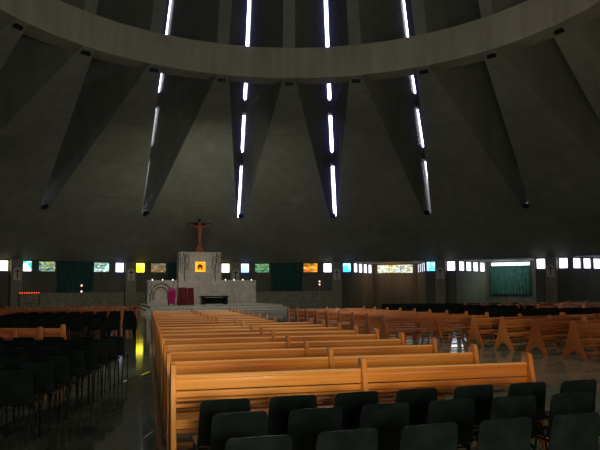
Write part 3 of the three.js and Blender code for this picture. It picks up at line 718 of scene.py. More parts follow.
@meshShape
def windowPaneShape(bm):
    layers = bm.loops.layers
    tintLayer, accentLayer = (layers.float_color.new(label) for label in ("paneTint", "paneAccent"))
    uv = layers.uv.new("pane")

    def addPane(span, depth, tints, place, leaded=False):
        before = set(bm.faces)
        addBox(bm, (span[0], depth, windowLow), (span[1], depth + windows["thickness"], windowHigh), place)
        glow = windows["artGlow" if leaded else "smallGlow"]
        pair = (tints, tints) if isinstance(tints, str) else tints
        tint, accent = ([glow * part for part in linear(color)[:3]] for color in pair)
        for face in set(bm.faces) - before:
            for loop in face.loops:
                loop[tintLayer] = tint + [float(leaded)]
                loop[accentLayer] = accent + [1.0]
                loop[uv].uv = (place.inverted() @ loop.vert.co).xz * modelScale

    depth = wallInner + windows["depth"]
    for bay in range(-10, 12):
        place = bayTurn(bay)
        small = windows["smallTints"].get(bay, windows["otherSmall"][bay % 3])
        for span, tints in zip(bothSpans("smallWindow"), small):
            addPane(span, depth, tints, place)
        if bay not in chapel["bays"]:
            pictures = windows["pictureTints"].get(bay, windows["otherPicture"][bay % 3])
            for span, tints in zip(bothSpans("pictureWindow"), pictures):
                addPane(span, depth, tints, place, True)
            continue
        tints = windows["chapelTints"][abs(bay) - 2]
        inTwoTints = not isinstance(tints, str)
        addPane(stripSpan(), chapel["back"] + chapel["glassDepth"], tints, place, inTwoTints)
        for side in (-1, 1):
            for span in chapelSideSpans():
                addPane(span, chapel["glassDepth"], windows["sideTint"], place @ chapelSideFrame(side)[0])


def stripSpan():
    # a chapel's back window
    return -chapel["stripHalf"], chapel["stripHalf"]


def addFrame(bm, span, y, panes=1, place=Matrix()):
    # an outer frame and upright bars, in the x-z plane
    start, end = span
    bar = windows["bar"]
    y0, y1 = y - bar, y - 0.002
    for z in (windowLow, windowHigh - bar):
        addBox(bm, (start, y0, z), (end, y1, z + bar), place)
    for i in range(panes + 1):
        x = start + (end - start - bar) * i / panes
        addBox(bm, (x, y0, windowLow + bar), (x + bar, y1, windowHigh - bar), place)


@meshShape
def bayFrames(bm, window):
    for span in bothSpans(window):
        addFrame(bm, span, wallInner + windows["depth"])


@meshShape
def chapelFrames(bm):
    addFrame(bm, stripSpan(), chapel["back"] + chapel["glassDepth"], windows["stripPanes"])
    for side in (-1, 1):
        for span in chapelSideSpans():
            addFrame(bm, span, chapel["glassDepth"], place=chapelSideFrame(side)[0])


addPiece("windowPanes", windowPaneShape(), windowGlass)
for name, mesh, firstBay, count in (
        ("smallWindowFrames", bayFrames("smallWindow"), 0, building["bays"]),
        ("altarPictureFrames", bayFrames("pictureWindow"), -1, 3),
        ("sidePictureFrames", bayFrames("pictureWindow"), 5, 13),
        ("rightChapelFrames", chapelFrames(), 2, 3), ("leftChapelFrames", chapelFrames(), -4, 3)):
    addRound(name, mesh, frameMetal, firstBay, count)
print("windows made")

# Curtains between the picture windows behind the altar and below the strip of one chapel
curtain = {"halfWidth": 1.58, "top": 4.47, "bottom": 1.78, "depth": 0.05, "folds": 13, "out": 0.2,
           "steps": 8, "rows": 14, "thickness": 0.01, "rail": 0.025}


@meshShape
def pleats(bm, halfWidth, bottom, top, y, place):
    # pleats are tight at the top and swing wider and softer towards the hem
    folds, depth, rows = curtain["folds"], curtain["depth"], curtain["rows"]
    across = folds * curtain["steps"]
    points = []
    for j in range(rows + 1):
        down = j / rows
        line = []
        for i in range(across + 1):
            share = i / across
            phase = 2 * math.pi * folds * share + 0.5 * math.sin(3.1 * down + 9 * share)
            swing = depth * (0.75 + 0.5 * down) * math.sin(phase)
            x = -halfWidth + 2 * halfWidth * share + 0.3 * depth * math.sin(2 * phase) * (1 - 0.3 * down)
            line.append(place @ Vector((x, y - swing, top + (bottom - top) * down)))
        points.append(line)
    addCloth(bm, points, (2 * halfWidth / across, (top - bottom) / rows))


@meshShape
def curtainRail(bm, halfWidth, top, y, place):
    radius, reach = curtain["rail"], halfWidth + 0.08
    addTube(bm, [(-reach, y, top + radius), (reach, y, top + radius)], radius, place=place)
    for side in (-1, 1):
        x = side * (halfWidth + 0.03)
        addBox(bm, (x - 0.02, y, top), (x + 0.02, y + curtain["out"] + 0.02, top + 0.04), place)


def addCurtain(name, bay, wall, halfWidth, bottom, top, restsOn):
    place, y = bayTurn(bay), wall - curtain["out"]
    mesh = pleats(halfWidth, bottom, top, y, place)
    drop = (top - bottom) * modelScale
    rail = addPiece(name + "Rail", curtainRail(halfWidth, top, y, place), frameMetal)
    addSheet(name, mesh, curtainCloth, "curtain_cloth", curtain["thickness"],
             flat=(clothArea(mesh) / drop, drop), held="gathered", rests_on=[rail.name, restsOn])


for bay, name in ((-1, "curtainLeft"), (0, "curtainMiddle"), (1, "curtainRight")):
    addCurtain(name, bay, wallInner, curtain["halfWidth"], curtain["bottom"], curtain["top"],
               "wall_behind_altar")
addCurtain("chapelCurtain", 3, chapel["back"], chapel["stripHalf"], 1.2, 4.12, "chapel_wall_right")
print("curtains hung")

# Between the bays stand flat pilasters, each with a plaque and a small cross. Stone slabs line the
# foot of the plain bays.
pilaster = {"half": 0.5, "face": 35.6, "depth": 0.45, "chamfer": 0.03}
plaque = {"half": 0.34, "low": 2.8, "top": 3.6, "front": 35.55}
dado = {"half": 4.6, "thickness": 0.04, "top": 1.7, "slabs": 5, "joint": 0.008, "ledge": 0.06}
betweenBays = bayTurn(0.5)


@meshShape
def pilasterShape(bm):
    half, face, chamfer = pilaster["half"], pilaster["face"], pilaster["chamfer"]
    back = face + pilaster["depth"]
    addPrism(bm, [(-half, back), (-half, face + chamfer), (chamfer - half, face), (half - chamfer, face),
                  (half, face + chamfer), (half, back)], "z", floorTop, building["eave"], betweenBays)


@meshShape
def plaqueShape(bm):
    # a tall plate with a round head
    half = plaque["half"]
    outline = [(-half, plaque["low"]), (half, plaque["low"])]
    outline += [(across, plaque["top"] + up) for across, up in arcPoints(half, 10, math.pi)]
    addPrism(bm, outline, "y", plaque["front"], pilaster["face"] - 0.001, betweenBays)


@meshShape
def plaqueCross(bm):
    front = plaque["front"]
    low, top = plaque["low"] + 0.15, plaque["top"] + 0.2
    arm = low + (top - low) * 0.68
    addBox(bm, (-0.045, front - 0.03, low), (0.045, front - 0.001, top), betweenBays)
    addBox(bm, (-0.22, front - 0.031, arm), (0.22, front - 0.001, arm + 0.09), betweenBays)


@meshShape
def dadoShape(bm):
    half, front, back = dado["half"], wallInner - dado["thickness"], wallInner - 0.001
    shelf = dado["top"] - dado["ledge"]
    for start, end in splitRun(-half, half, dado["slabs"]):
        addBox(bm, (start, front, floorTop + 0.001), (end - dado["joint"], back, shelf))
    addBox(bm, (-half, front - 0.03, shelf), (half - dado["joint"], back, dado["top"]))


addRound("wallPilasters", pilasterShape(), pilasterRender)
addRound("stationPlaques", plaqueShape(), altarRender)
addRound("plaqueCrosses", plaqueCross(), bronze)
for name, firstBay, count in (("altarDado", -1, 3), ("rightDado", 5, 6), ("leftDado", 12, 6)):
    addRound(name, dadoShape(), dadoMarble, firstBay, count)
print("pilasters and wall slabs made")

# Altar end: relief and lamp on the tower, the cross, the table, cloths and small furniture
platform = {"top": 0.71, "x": 0.35, "front": 19.4, "back": 31.4, "halfWidth": 5.8, "tread": 0.38,
            "steps": 3}
tower = {"x": 0.25, "half": 1.9, "front": 27.85, "height": 4.45}
altarWall = {"left": -4.2, "right": 5.3, "front": 28.1, "height": 1.95, "coping": 0.06,
             "joints": ((-2.9,), (3.4, 4.4)), "spots": (3, 4)}       # left and right of the tower
towerTop = platform["top"] + tower["height"]
wallTop = platform["top"] + altarWall["height"]
onPlatform = platform["top"] + 0.002

# Slim trees climb both edges of the tower, and a wide arch of them stands on the left wall.
relief = {
    "radius": 0.045,
    # inset, foot, lean and share of the radius
    "stems": ((0.55, 1.95, -0.08, 1.1), (0.32, 2.6, 0.12, 0.8), (0.78, 2.9, -0.16, 0.7)),
    # place on the stem, reach inwards and rise
    "twigs": ((0.3, 0.3, 0.8), (0.45, -0.24, 0.7), (0.6, 0.28, 0.8), (0.7, -0.2, 0.6)),
    # left, right, foot and top
    "arches": ((0.25, 2.1, 0.2, 1.72), (0.5, 1.75, 0.35, 1.42)),
    # place, foot and lean
    "branches": ((0.2, 0.6, -0.15), (0.4, 0.9, -0.1), (2.3, 0.5, 0.2), (2.0, 0.9, 0.15)),
}


def branchPoints(start, end, lean, steps=10):
    # a branch that rises from start to end and bows sideways on its way
    points = []
    for i in range(steps + 1):
        share = i / steps
        point = start.lerp(end, share)
        point.x += lean * math.sin(math.pi * share) + 0.06 * math.sin(7 * share + start.z)
        points.append(point)
    return points


@meshShape
def branchRelief(bm):
    floor, vine = platform["top"], relief["radius"]
    y, head = tower["front"] - 0.02, towerTop - 0.06
    for side in (-1, 1):
        for inset, low, lean, thick in relief["stems"]:
            x = tower["x"] + side * (tower["half"] - inset)
            foot, top = Vector((x, y, floor + low)), Vector((x + side * 0.12, y, head))
            addTube(bm, branchPoints(foot, top, side * lean), vine * thick)
            for share, out, rise in relief["twigs"]:
                start = foot.lerp(top, share)
                reach = start + Vector((-side * out, 0, rise))
                reach.z = min(reach.z, head)
                addTube(bm, branchPoints(start, reach, side * 0.05, 6), vine * 0.45)
    y, edge = altarWall["front"] - 0.02, altarWall["left"]
    for left, right, low, top in relief["arches"]:
        middle, reach = edge + (left + right) / 2, (right - left) / 2
        addTube(bm, [(middle + reach * across, y, floor + low + (top - low) * abs(up) ** 0.7)
                     for across, up in arcPoints(1, 16, math.pi)[::-1]], vine * 1.3)
    for out, low, lean in relief["branches"]:
        start = Vector((edge + out, y, floor + low))
        reach = Vector((start.x + lean, y, wallTop - 0.08))
        addTube(bm, branchPoints(start, reach, lean * 0.5, 6), vine * 0.6)


# The lit niche: a square lamp glass, paler glass round its mouth, a rayed edge and a dark arched sign
niche = {"z": 3.87, "half": 0.35, "rim": 0.09, "rings": (0.2, 0.23), "rays": 40,
         "sign": ((-0.19, -0.22), (-0.07, -0.22), (-0.07, -0.06), (0.07, -0.06), (0.07, -0.22),
                  (0.19, -0.22), (0.19, 0.04), (0.08, 0.22), (-0.08, 0.22), (-0.19, 0.04))}


@meshShape
def nicheLamp(bm):
    x, z, half, y = tower["x"], niche["z"], niche["half"] - 0.02, tower["front"] + 0.12
    addBox(bm, (x - half, y, z - half), (x + half, y + 0.03, z + half))


@meshShape
def nicheFrame(bm):
    x, z, y = tower["x"], niche["z"], tower["front"] + 0.08
    for radius in niche["rings"]:
        addTube(bm, [(x + across, y, z + up) for across, up in arcPoints(radius, 24)], 0.012, 6)
    addPrism(bm, [(x + across, z + up) for across, up in niche["sign"]], "y", y, y + 0.02)
    start = Vector((x, tower["front"] - 0.01, z))
    for k, (across, up) in enumerate(arcPoints(1, niche["rays"])[:-1]):
        ray = Vector((across, 0, up))
        reach = (niche["half"] + niche["rim"]) / max(abs(across), abs(up))
        end = reach + (0.09 if k % 2 else 0.05)
        addTube(bm, [start + ray * (reach - 0.05), start + ray * end], 0.02, 5)


@meshShape
def nicheRim(bm):
    x, z, half, y = tower["x"], niche["z"], niche["half"], tower["front"]
    wide = half + niche["rim"]
    for left, low, right, high in ((-wide, -wide, wide, -half), (-wide, half, wide, wide),
                                   (-wide, -half, -half, half), (half, -half, wide, half)):
        addBox(bm, (x + left, y - 0.03, z + low), (x + right, y, z + high))


def wallStretches():
    # the altar wall's runs left and right of the tower
    x, half = tower["x"], tower["half"]
    return (altarWall["left"], x - half), (x + half, altarWall["right"])


@meshShape
def wallCoping(bm):
    # white capping stones along the top of the walls
    front, low, top = altarWall["front"], wallTop + 0.002, wallTop + altarWall["coping"]
    past = ((-0.03, -0.01), (0.01, 0.03))       # over the wall's end, and short of the tower
    for (start, end), inner, (before, after) in zip(wallStretches(), altarWall["joints"], past):
        joints = [start + before, *inner, end + after]
        for left, right in zip(joints, joints[1:]):
            addBox(bm, (left, front - 0.04, low), (right - 0.01, front + 0.44, top))


@meshShape
def wallSpots(bm):
    # small spotlights along the top of the walls
    y, z = altarWall["front"] + 0.1, wallTop + altarWall["coping"] + 0.01
    for stretch, count in zip(wallStretches(), altarWall["spots"]):
        for start, end in splitRun(*stretch, count):
            x = (start + end) / 2
            addTube(bm, [(x, y, z), (x, y - 0.02, z + 0.07)], 0.028)


def markGrain(bm, verts, along):
    # stores where each point lies, with x along the grain
    layer = bm.verts.layers.float_vector["grainPlace"]
    for vert in verts:
        x, y, z = vert.co
        vert[layer] = {"x": (x, y, z), "y": (y, x, z), "z": (z, x, y)}[along]


# The cross on the tower, with a plain carved figure: each part of it is points and the radius at each
cross = {"half": 0.11, "depth": 0.22, "behind": 0.565, "height": 3.0, "arm": 2.39, "armHalf": 1.05}
figure = {
    "forward": 0.46,
    "parts": [
        [(0, -0.04, 0, 0.42), (-0.03, -0.06, 0.22, 0.36), (0.02, -0.04, 0.45, 0.27), (0, 0, 0.7, 0.1)],
        [(0, 0.02, 0.5, 0.09), (0.01, -0.02, 0.9, 0.12), (-0.02, -0.05, 1.3, 0.16), (0, 0, 1.6, 0.19)],
        [(0, 0, 1.55, 0.2), (0, -0.02, 1.8, 0.17), (0, -0.02, 2.05, 0.22), (0, 0, 2.28, 0.24),
         (0, 0, 2.36, 0.1)],
        [(-0.02, -0.05, 2.34, 0.06), (-0.03, -0.08, 2.45, 0.12), (-0.03, -0.08, 2.56, 0.12),
         (-0.03, -0.07, 2.64, 0.06)],
    ],
    "arm": [(0.16, 0, 2.25), (0.5, -0.01, 2.32), (0.92, 0.04, 2.48)],
    "armRadius": 0.055,
}


@meshShape
def crossShape(bm):
    bm.verts.layers.float_vector.new("grainPlace")
    foot = towerTop + 0.003
    x, y, half = tower["x"], tower["front"] + cross["behind"], cross["half"]
    addBox(bm, (x - half, y, foot), (x + half, y + cross["depth"], foot + cross["height"]))
    markGrain(bm, bm.verts, "z")
    arms = addBox(bm, (x - cross["armHalf"], y - 0.01, foot + cross["arm"]),
                  (x + cross["armHalf"], y + cross["depth"] - 0.01, foot + cross["arm"] + 2 * half))
    markGrain(bm, arms, "x")


@meshShape
def carvedFigure(bm):
    foot = Vector((tower["x"], tower["front"] + figure["forward"], towerTop))
    for part in figure["parts"]:
        addHull(bm, [[foot + Vector((x + a, y + b, z)) for a, b in arcPoints(radius, 8)[:-1]]
                     for x, y, z, radius in part])
    for side in (-1, 1):
        addTube(bm, [foot + Vector((side * x, y, z)) for x, y, z in figure["arm"]], figure["armRadius"])


# The altar table: a top slab with a thin edge line, two broad legs and a stretcher. Each box is its low
# and high corner, from the table's middle on the platform.
table = {"place": (0.55, 23.2), "boxes": [
    ((-1.175, -0.5, 0.61), (1.175, 0.5, 0.68)), ((-1.13, -0.46, 0.58), (1.13, 0.46, 0.61)),
    ((-1.06, -0.4, 0), (-0.74, 0.4, 0.58)), ((0.74, -0.4, 0), (1.06, 0.4, 0.58)),
    ((-0.74, 0.05, 0.05), (0.74, 0.35, 0.54))]}
# candles on tall stands beside the table, and on short ones on it
candle = {"tall": (-0.9, 2.2), "tallY": 23.0, "tallTop": 1.0, "onTable": (-0.3, -0.05, 1.15, 1.4),
          "tableTop": 0.682, "shortTop": 0.22, "wax": 0.27}


@meshShape
def stoneTable(bm):
    place = Matrix.Translation((*table["place"], onPlatform))
    for low, high in table["boxes"]:
        addBox(bm, low, high, place)


@meshShape
def stepNosing(bm):
    # a square nosing in darker stone on each step of the platform
    rise = (platform["top"] - floorTop) / platform["steps"]
    for step in range(platform["steps"]):
        inset = step * platform["tread"]
        z = floorTop + (step + 1) * rise
        half, front, x = platform["halfWidth"] - inset, platform["front"] + inset, platform["x"]
        addBox(bm, (x - half - 0.02, front - 0.02, z - 0.05), (x + half + 0.02, front + 0.05, z + 0.004))
        for edge in (x - half, x + half):
            addBox(bm, (edge - 0.02, front + 0.05, z - 0.05), (edge + 0.02, platform["back"], z + 0.004))


@meshShape
def candleShape(bm, part):
    stands = [(x, candle["tallY"], onPlatform, onPlatform + candle["tallTop"]) for x in candle["tall"]]
    low = onPlatform + candle["tableTop"]
    stands += [(x, table["place"][1], low, low + candle["shortTop"]) for x in candle["onTable"]]
    for x, y, low, top in stands:
        bars = [(low + 0.02, top, 0.02, 8), (low, low + 0.02, 0.11, 12), (top, top + 0.02, 0.06, 10)]
        if part == "wax":
            bars = [(top + 0.021, top + candle["wax"], 0.03, 8)]
        for start, end, radius, sides in bars:
            addTube(bm, [(x, y, start), (x, y, end)], radius, sides)


# High seats and the reading desk: timber frames under their cloths
furniture = {
    # x, y, width, depth, height, and for a seat what shapes its folds
    "seats": [(-2.27, 21.0, 0.66, 0.55, 1.34, 0.4), (-1.67, 21.0, 0.46, 0.5, 1.32, 2.1)],
    "desk": (-3.08, 21.0, 0.5, 0.36, 1.18),
    "cloth": 0.012,
}


@meshShape
def seatDrape(bm, x, y, width, depth, height, seed):
    # a cloth thrown over a high seat: it covers the back's top and falls to the floor in soft folds
    z = platform["top"]
    across, down = 40, 18
    points = []
    for j in range(down + 1):
        line = []
        fall = j / down
        for i in range(across):
            turn = 2 * math.pi * i / across
            flare = 1 + 0.16 * fall * math.sin(7 * turn + seed) + 0.1 * fall
            ca, sa = math.cos(turn), math.sin(turn)
            power = 0.35 + 0.25 * fall
            px = width / 2 * math.copysign(abs(ca) ** power, ca) * flare
            py = depth / 2 * math.copysign(abs(sa) ** power, sa) * flare
            level = z + height - (height - 0.02) * fall + 0.05 * (1 - fall) * (-abs(ca) ** 3)
            line.append((x + px, y + py, level))
        points.append(line)
    rows, uv = addCloth(bm, points, (2 * (width + depth) / across, height / down), True)
    middle = bm.verts.new((x, y, z + height + 0.03))
    for i in range(across):
        face = bm.faces.new((rows[0][i], rows[0][(i + 1) % across], middle))
        for loop, spot in zip(face.loops, ((0, 0), (0.1, 0), (0.05, 0.2))):
            loop[uv].uv = spot


@meshShape
def drapedFrames(bm):
    bm.verts.layers.float_vector.new("grainPlace")
    z = onPlatform
    for x, y, width, depth, height, _ in furniture["seats"]:
        w, d = width / 2, depth / 2
        for side in (-1, 1):
            for back in (-1, 1):
                px, py = x + side * (w - 0.1), y + back * (d - 0.1)
                top = height - 0.09 if back > 0 else 0.5
                addBox(bm, (px - 0.025, py - 0.025, z), (px + 0.025, py + 0.025, z + top))
        addBox(bm, (x - w + 0.06, y - d + 0.06, z + 0.42), (x + w - 0.06, y + d - 0.06, z + 0.46))
        addBox(bm, (x - w + 0.07, y + d - 0.13, z + 0.7), (x + w - 0.07, y + d - 0.1, z + height - 0.1))
    x, y, width, depth, height = furniture["desk"]
    w, d, top = width / 2, depth / 2, z + height
    for side in (-1, 1):
        px = x + side * (w - 0.05)
        addBox(bm, (px - 0.03, y - d + 0.05, z), (px + 0.03, y + d, top - 0.1))
    slope = [(y - d, top - 0.1), (y + d, top + 0.05), (y + d, top + 0.09), (y - d, top - 0.06)]
    addPrism(bm, slope, "x", x - w, x + w)
    markGrain(bm, bm.verts, "z")


@meshShape
def deskCloth(bm):
    # a banner that lies over the desk's slope and hangs down its front
    x, y, width, depth, height = furniture["desk"]
    top, half = platform["top"] + height, depth / 2
    path = [(y + half + 0.01, top + 0.1), (y, top + 0.02), (y - half - 0.02, top - 0.05)]
    path += [(y - half - 0.05, top - 0.15 - 0.1 * k) for k in range(10)]
    points = []
    for j, (py, pz) in enumerate(path):
        swing = 0.018 * min(1, max(0, j - 2) / 6)
        points.append([(x - width / 2 - 0.02 + (width + 0.04) * i / 12, py - swing * math.sin(i * 1.4), pz)
                       for i in range(13)])
    addCloth(bm, points, (0.05, 0.1))


def addDrape(name, mesh, cloth):
    size = math.sqrt(clothArea(mesh))
    addSheet(name, mesh, cloth, "drape_cloth", furniture["cloth"], flat=(size, size), held="draped",
             rests_on=["drapedFrames"])


addPiece("branchRelief", branchRelief(), reliefMetal, smooth=True)
addPiece("nicheLamp", nicheLamp(), nicheGlow)
addPiece("nicheRim", nicheRim(), rimGlow)
addPiece("nicheFrame", nicheFrame(), gilding)
addPiece("wallCoping", wallCoping(), whiteMarble, bevel=0.012)
addPiece("wallSpots", wallSpots(), lampGlow)
addPiece("altarCross", crossShape(), crossTimber, ("altar_cross",), bevel=0.012)
addPiece("carvedFigure", carvedFigure(), carvedTimber, smooth=True)
addPiece("stoneTable", stoneTable(), blackGranite, ("altar_table",), bevel=0.01)
addPiece("stepNosing", stepNosing(), nosingMarble, bevel=0.006)
addPiece("candleStands", candleShape("stand"), gilding, smooth=True)
addPiece("candles", candleShape("wax"), whiteMarble, smooth=True)
addPiece("drapedFrames", drapedFrames(), crossTimber, bevel=0.006)
for i, seat in enumerate(furniture["seats"]):
    addDrape(f"seatDrape{i + 1}", seatDrape(*seat), redCloth)
addDrape("deskCloth", deskCloth(), magentaCloth)
print("altar end made")

# Small lamps along the walls: a rack of red glass lamps, and poles with round lamps
rack = {"place": (-13.6, 30.0), "turn": 20, "length": 1.7, "height": 1.5, "shelf": 0.7, "lamps": 9,
        "lampRadius": 0.045}
poles = {"globe": 0.085,
         "places": [(-9.5, 29.0, (1.65, 2.15)), (-17.0, 26.0, (1.8,)), (12.6, 31.5, (2.2, 2.5))]}


@meshShape
def rackShape(bm, part):
    place = Matrix.Translation((*rack["place"], floorTop + 0.001))
    place @= Matrix.Rotation(math.radians(rack["turn"]), 4, "Z")
    half, top = rack["length"] / 2, rack["height"]
    if part == "lamps":
        for start, end in splitRun(-half, half, rack["lamps"]):
            x = (start + end) / 2
            addTube(bm, [(x, 0, top + 0.002), (x, 0, top + 0.12)], rack["lampRadius"], place=place)
        return
    for level in (rack["shelf"], top):
        addBox(bm, (-half, -0.16, level - 0.03), (half, 0.16, level), place)
    for side in (-1, 1):
        x = side * (half - 0.03)
        for y in (-0.13, 0.13):
            addBox(bm, (x - 0.02, y - 0.02, 0), (x + 0.02, y + 0.02, top - 0.03), place)
    addBox(bm, (-half, 0.13, top), (half, 0.16, top + 0.12), place)


@meshShape
def poleShape(bm, part):
    # each place is x and y, and the height of each lamp on the pole
    for x, y, heights in poles["places"]:
        foot = floorTop + 0.001
        if part == "lamps":
            for height in heights:
                bmesh.ops.create_uvsphere(bm, u_segments=12, v_segments=8, radius=poles["globe"],
                                          matrix=Matrix.Translation((x, y, foot + height)))
            continue
        addTube(bm, [(x, y, foot + 0.03), (x, y, foot + heights[-1] - poles["globe"])], 0.02)
        addTube(bm, [(x, y, foot), (x, y, foot + 0.03)], 0.16, 12)


addPiece("lampRack", rackShape("stand"), lampMetal, bevel=0.006)
addPiece("rackLamps", rackShape("lamps"), candleGlow, smooth=True)
addPiece("lampPoles", poleShape("stand"), gilding, smooth=True)
addPiece("lampGlobes", poleShape("lamps"), globeGlow, smooth=True)
print("small lamps made")

# Pews: end boards of one outline joined by long planks. Outline and planks are real sizes from the
# pew's back foot, forwards and up.
pews = {
    "endBoard": 0.05,
    "edge": 0.009,
    "endOutline": [(0, 0), (0.1, 0), (0.14, 0.05), (0.2, 0.11), (0.27, 0.18), (0.36, 0.22), (0.45, 0.18),
                   (0.52, 0.11), (0.58, 0.05), (0.62, 0), (0.72, 0), (0.685, 0.1), (0.63, 0.23),
                   (0.575, 0.36), (0.53, 0.5), (0.49, 0.67), (0.455, 0.84), (0.44, 0.93), (0.42, 0.96),
                   (0.325, 0.96), (0.3, 0.93), (0.285, 0.84), (0.25, 0.67), (0.205, 0.5), (0.155, 0.36),
                   (0.105, 0.23), (0.045, 0.1)],
    "rail": {"back": 0.335, "front": 0.4, "low": 0.82, "high": 0.865, "steps": 8},
    "planks": [(0.345, 0.38, 0.722, 0.836), (0.345, 0.375, 0.655, 0.714),
               (0.27, 0.39, 0.634, 0.652), (0.34, 0.365, 0.565, 0.6), (0.33, 0.45, 0.42, 0.46),
               (0.455, 0.58, 0.42, 0.46), (0.585, 0.71, 0.42, 0.46), (0.335, 0.36, 0.376, 0.425),
               (0.02, 0.16, 0.16, 0.195)],
    "sideBlockHeight": 0.93,     # the side blocks' pews are lower, as a share of the middle ones
    "columnPitch": 3.76,
    "length": 3.72,
    "farLength": 3.05,           # in the middle block's far rows
    "sections": 2,
    # block: left foot x and y, turn, rows, row pitch, row shift, pews side by side
    "blocks": {
        "pewsMiddle": (-8.8, -23.28, -4.6, 9, 1.165, 0.012, 1),
        "pewsMiddleFar": (-7.85, -12.84, -4.6, 9, 1.165, 0.012, 1),
        "pewsRightNear": (1.36, -16.85, 10, 4, 1.3, 0.2, 2),
        "pewsRight": (-0.8, -11.1, 0, 9, 1.22, 0, 1),
        "pewsRightFar": (12.2, -5.0, 14, 7, 1.3, 0.1, 3),
        "pewsLeftNear": (-18.0, -12.4, -28, 4, 0.93, 0, 2),
        "pewsLeftFar": (-15.5, 3.9, -15, 7, 1.2, 0, 2),
    },
}


@meshShape
def pewShape(bm, length, height):
    bm.verts.layers.float_vector.new("grainPlace")
    end, rail = pews["endBoard"], pews["rail"]
    for back, front, low, high in pews["planks"]:
        made = addBox(bm, (end / 2, back, low * height), (length - end / 2, front, high * height))
        markGrain(bm, made, "x")
    radius = (rail["front"] - rail["back"]) / 2
    low, high = rail["low"] * height, rail["high"] * height
    outline = [(rail["back"], low), (rail["front"], low)]
    outline += [(rail["back"] + radius + across, high - radius + up)
                for across, up in arcPoints(radius, rail["steps"], math.pi)]
    markGrain(bm, addPrism(bm, outline, "x", end / 2, length - end / 2), "x")
    outline = [(y, z * height) for y, z in pews["endOutline"]]
    for i in range(pews["sections"] + 1):
        x = i * (length - end) / pews["sections"]
        markGrain(bm, addPrism(bm, outline, "x", x, x + end), "z")
    bmesh.ops.recalc_face_normals(bm, faces=bm.faces)
    sharp = [edge for edge in bm.edges if len(edge.link_faces) == 2 and edge.calc_face_angle() > 1]
    bmesh.ops.bevel(bm, geom=sharp, offset=pews["edge"], segments=2, profile=0.5, affect="EDGES")


for name, block in pews["blocks"].items():
    inMiddle = name.startswith("pewsMiddle")
    timber = pewTimber if inMiddle else sideTimber
    length = pews["farLength" if name == "pewsMiddleFar" else "length"]
    shape = pewShape(length, 1.0 if inMiddle else pews["sideBlockHeight"])
    stand = [f"pew_{i:02d}" for i in range(1, 7)] if name == "pewsMiddle" else ()
    baked = seatBlock(name, shape, timber, block, len(name), pews["columnPitch"], 0.004)
    addPiece(name, baked, timber, stand, smooth=True)
print("pews placed")

# Stacking chairs: a moulded shell on a frame of chrome tube. The profile runs from the seat's front
# edge to the top of the back, forwards and up from the back of the seat, with the half width at each.
chairs = {
    "profile": [(0.42, 0.405, 0.2), (0.4, 0.435, 0.205), (0.3, 0.442, 0.21), (0.16, 0.432, 0.21),
                (0.06, 0.428, 0.21), (0.015, 0.45, 0.21), (-0.01, 0.5, 0.205), (-0.025, 0.6, 0.202),
                (-0.045, 0.7, 0.2), (-0.06, 0.77, 0.194), (-0.066, 0.792, 0.18), (-0.069, 0.8, 0.155)],
    "middle": 0.21,
    "thickness": 0.012,
    "dish": 0.022,
    "tube": 0.01,
    "legs": [(0.4, 0.01), (0.36, 0.39), (0.3, 0.415), (0.06, 0.412), (0, 0.38), (-0.06, 0.01)],
    "legInset": 0.03,
    "bars": (0.3, 0.08),
    "pitch": 0.545,
    # block: left foot x and y, turn, rows, row pitch, row shift, chairs side by side
    "blocks": {
        "chairsFront": (-8.7, -23.99, -1.6, 1, 1.0, 0, 7),
        "chairsSecond": (-8.72, -24.57, -1.6, 1, 1.0, 0, 7),
        "chairsNear": (-8.79, -25.34, -1.6, 1, 1.0, 0, 7),
        "chairsLeft": (-12.55, -20.75, -14, 8, 0.75, 0, 5),
        "chairsLeftFar": (-12.6, -7.2, 0, 10, 0.85, 0.05, 9),
        "chairsRight": (3.6, -10.0, -15, 9, 0.85, 0.15, 18),
        "chairsRightFar": (5.5, 0.5, -12, 9, 0.9, 0.1, 18),
    },
    "cadRows": {"chairsFront": ("chair_row_1",), "chairsSecond": ("chair_row_2",),
                "chairsNear": ("chair_row_3",)},
}


@meshShape
def chairShell(bm):
    across = 6
    rows = []
    for forward, up, half in chairs["profile"]:
        line = []
        for i in range(across + 1):
            side = -1 + 2 * i / across
            curl = chairs["dish"] * side * side
            lift, back = (curl * 0.5, 0) if up < 0.46 else (0, curl)
            line.append(bm.verts.new((chairs["middle"] + side * half, forward + back, up + lift)))
        rows.append(line)
    for a, b in zip(rows, rows[1:]):
        for i in range(across):
            bm.faces.new((a[i], a[i + 1], b[i + 1], b[i]))
    bmesh.ops.recalc_face_normals(bm, faces=bm.faces)
    bmesh.ops.solidify(bm, geom=list(bm.faces), thickness=chairs["thickness"])


@meshShape
def chairFrame(bm):
    tube, legs = chairs["tube"], chairs["legs"]
    sides = (chairs["legInset"], 2 * chairs["middle"] - chairs["legInset"])
    for x in sides:
        addTube(bm, [(x, y, z) for y, z in legs], tube, 6)
    for y in chairs["bars"]:
        addTube(bm, [(x, y, 0.41) for x in sides], tube * 0.8, 6)
    for x in sides:
        for y in (legs[0][0], legs[-1][0]):
            addTube(bm, [(x, y, 0), (x, y, 0.025)], tube * 1.5, 6)


for name, block in chairs["blocks"].items():
    for label, shape, material, slotName in ((name, chairShell, chairPlastic, "chair_plastic"),
                                             (name + "Legs", chairFrame, chrome, "chrome_legs")):
        baked = seatBlock(label, shape(), material, block, len(name), chairs["pitch"], 0.05)
        addPiece(label, baked, material, chairs["cadRows"].get(label, ()), smooth=True)
print("chairs placed")

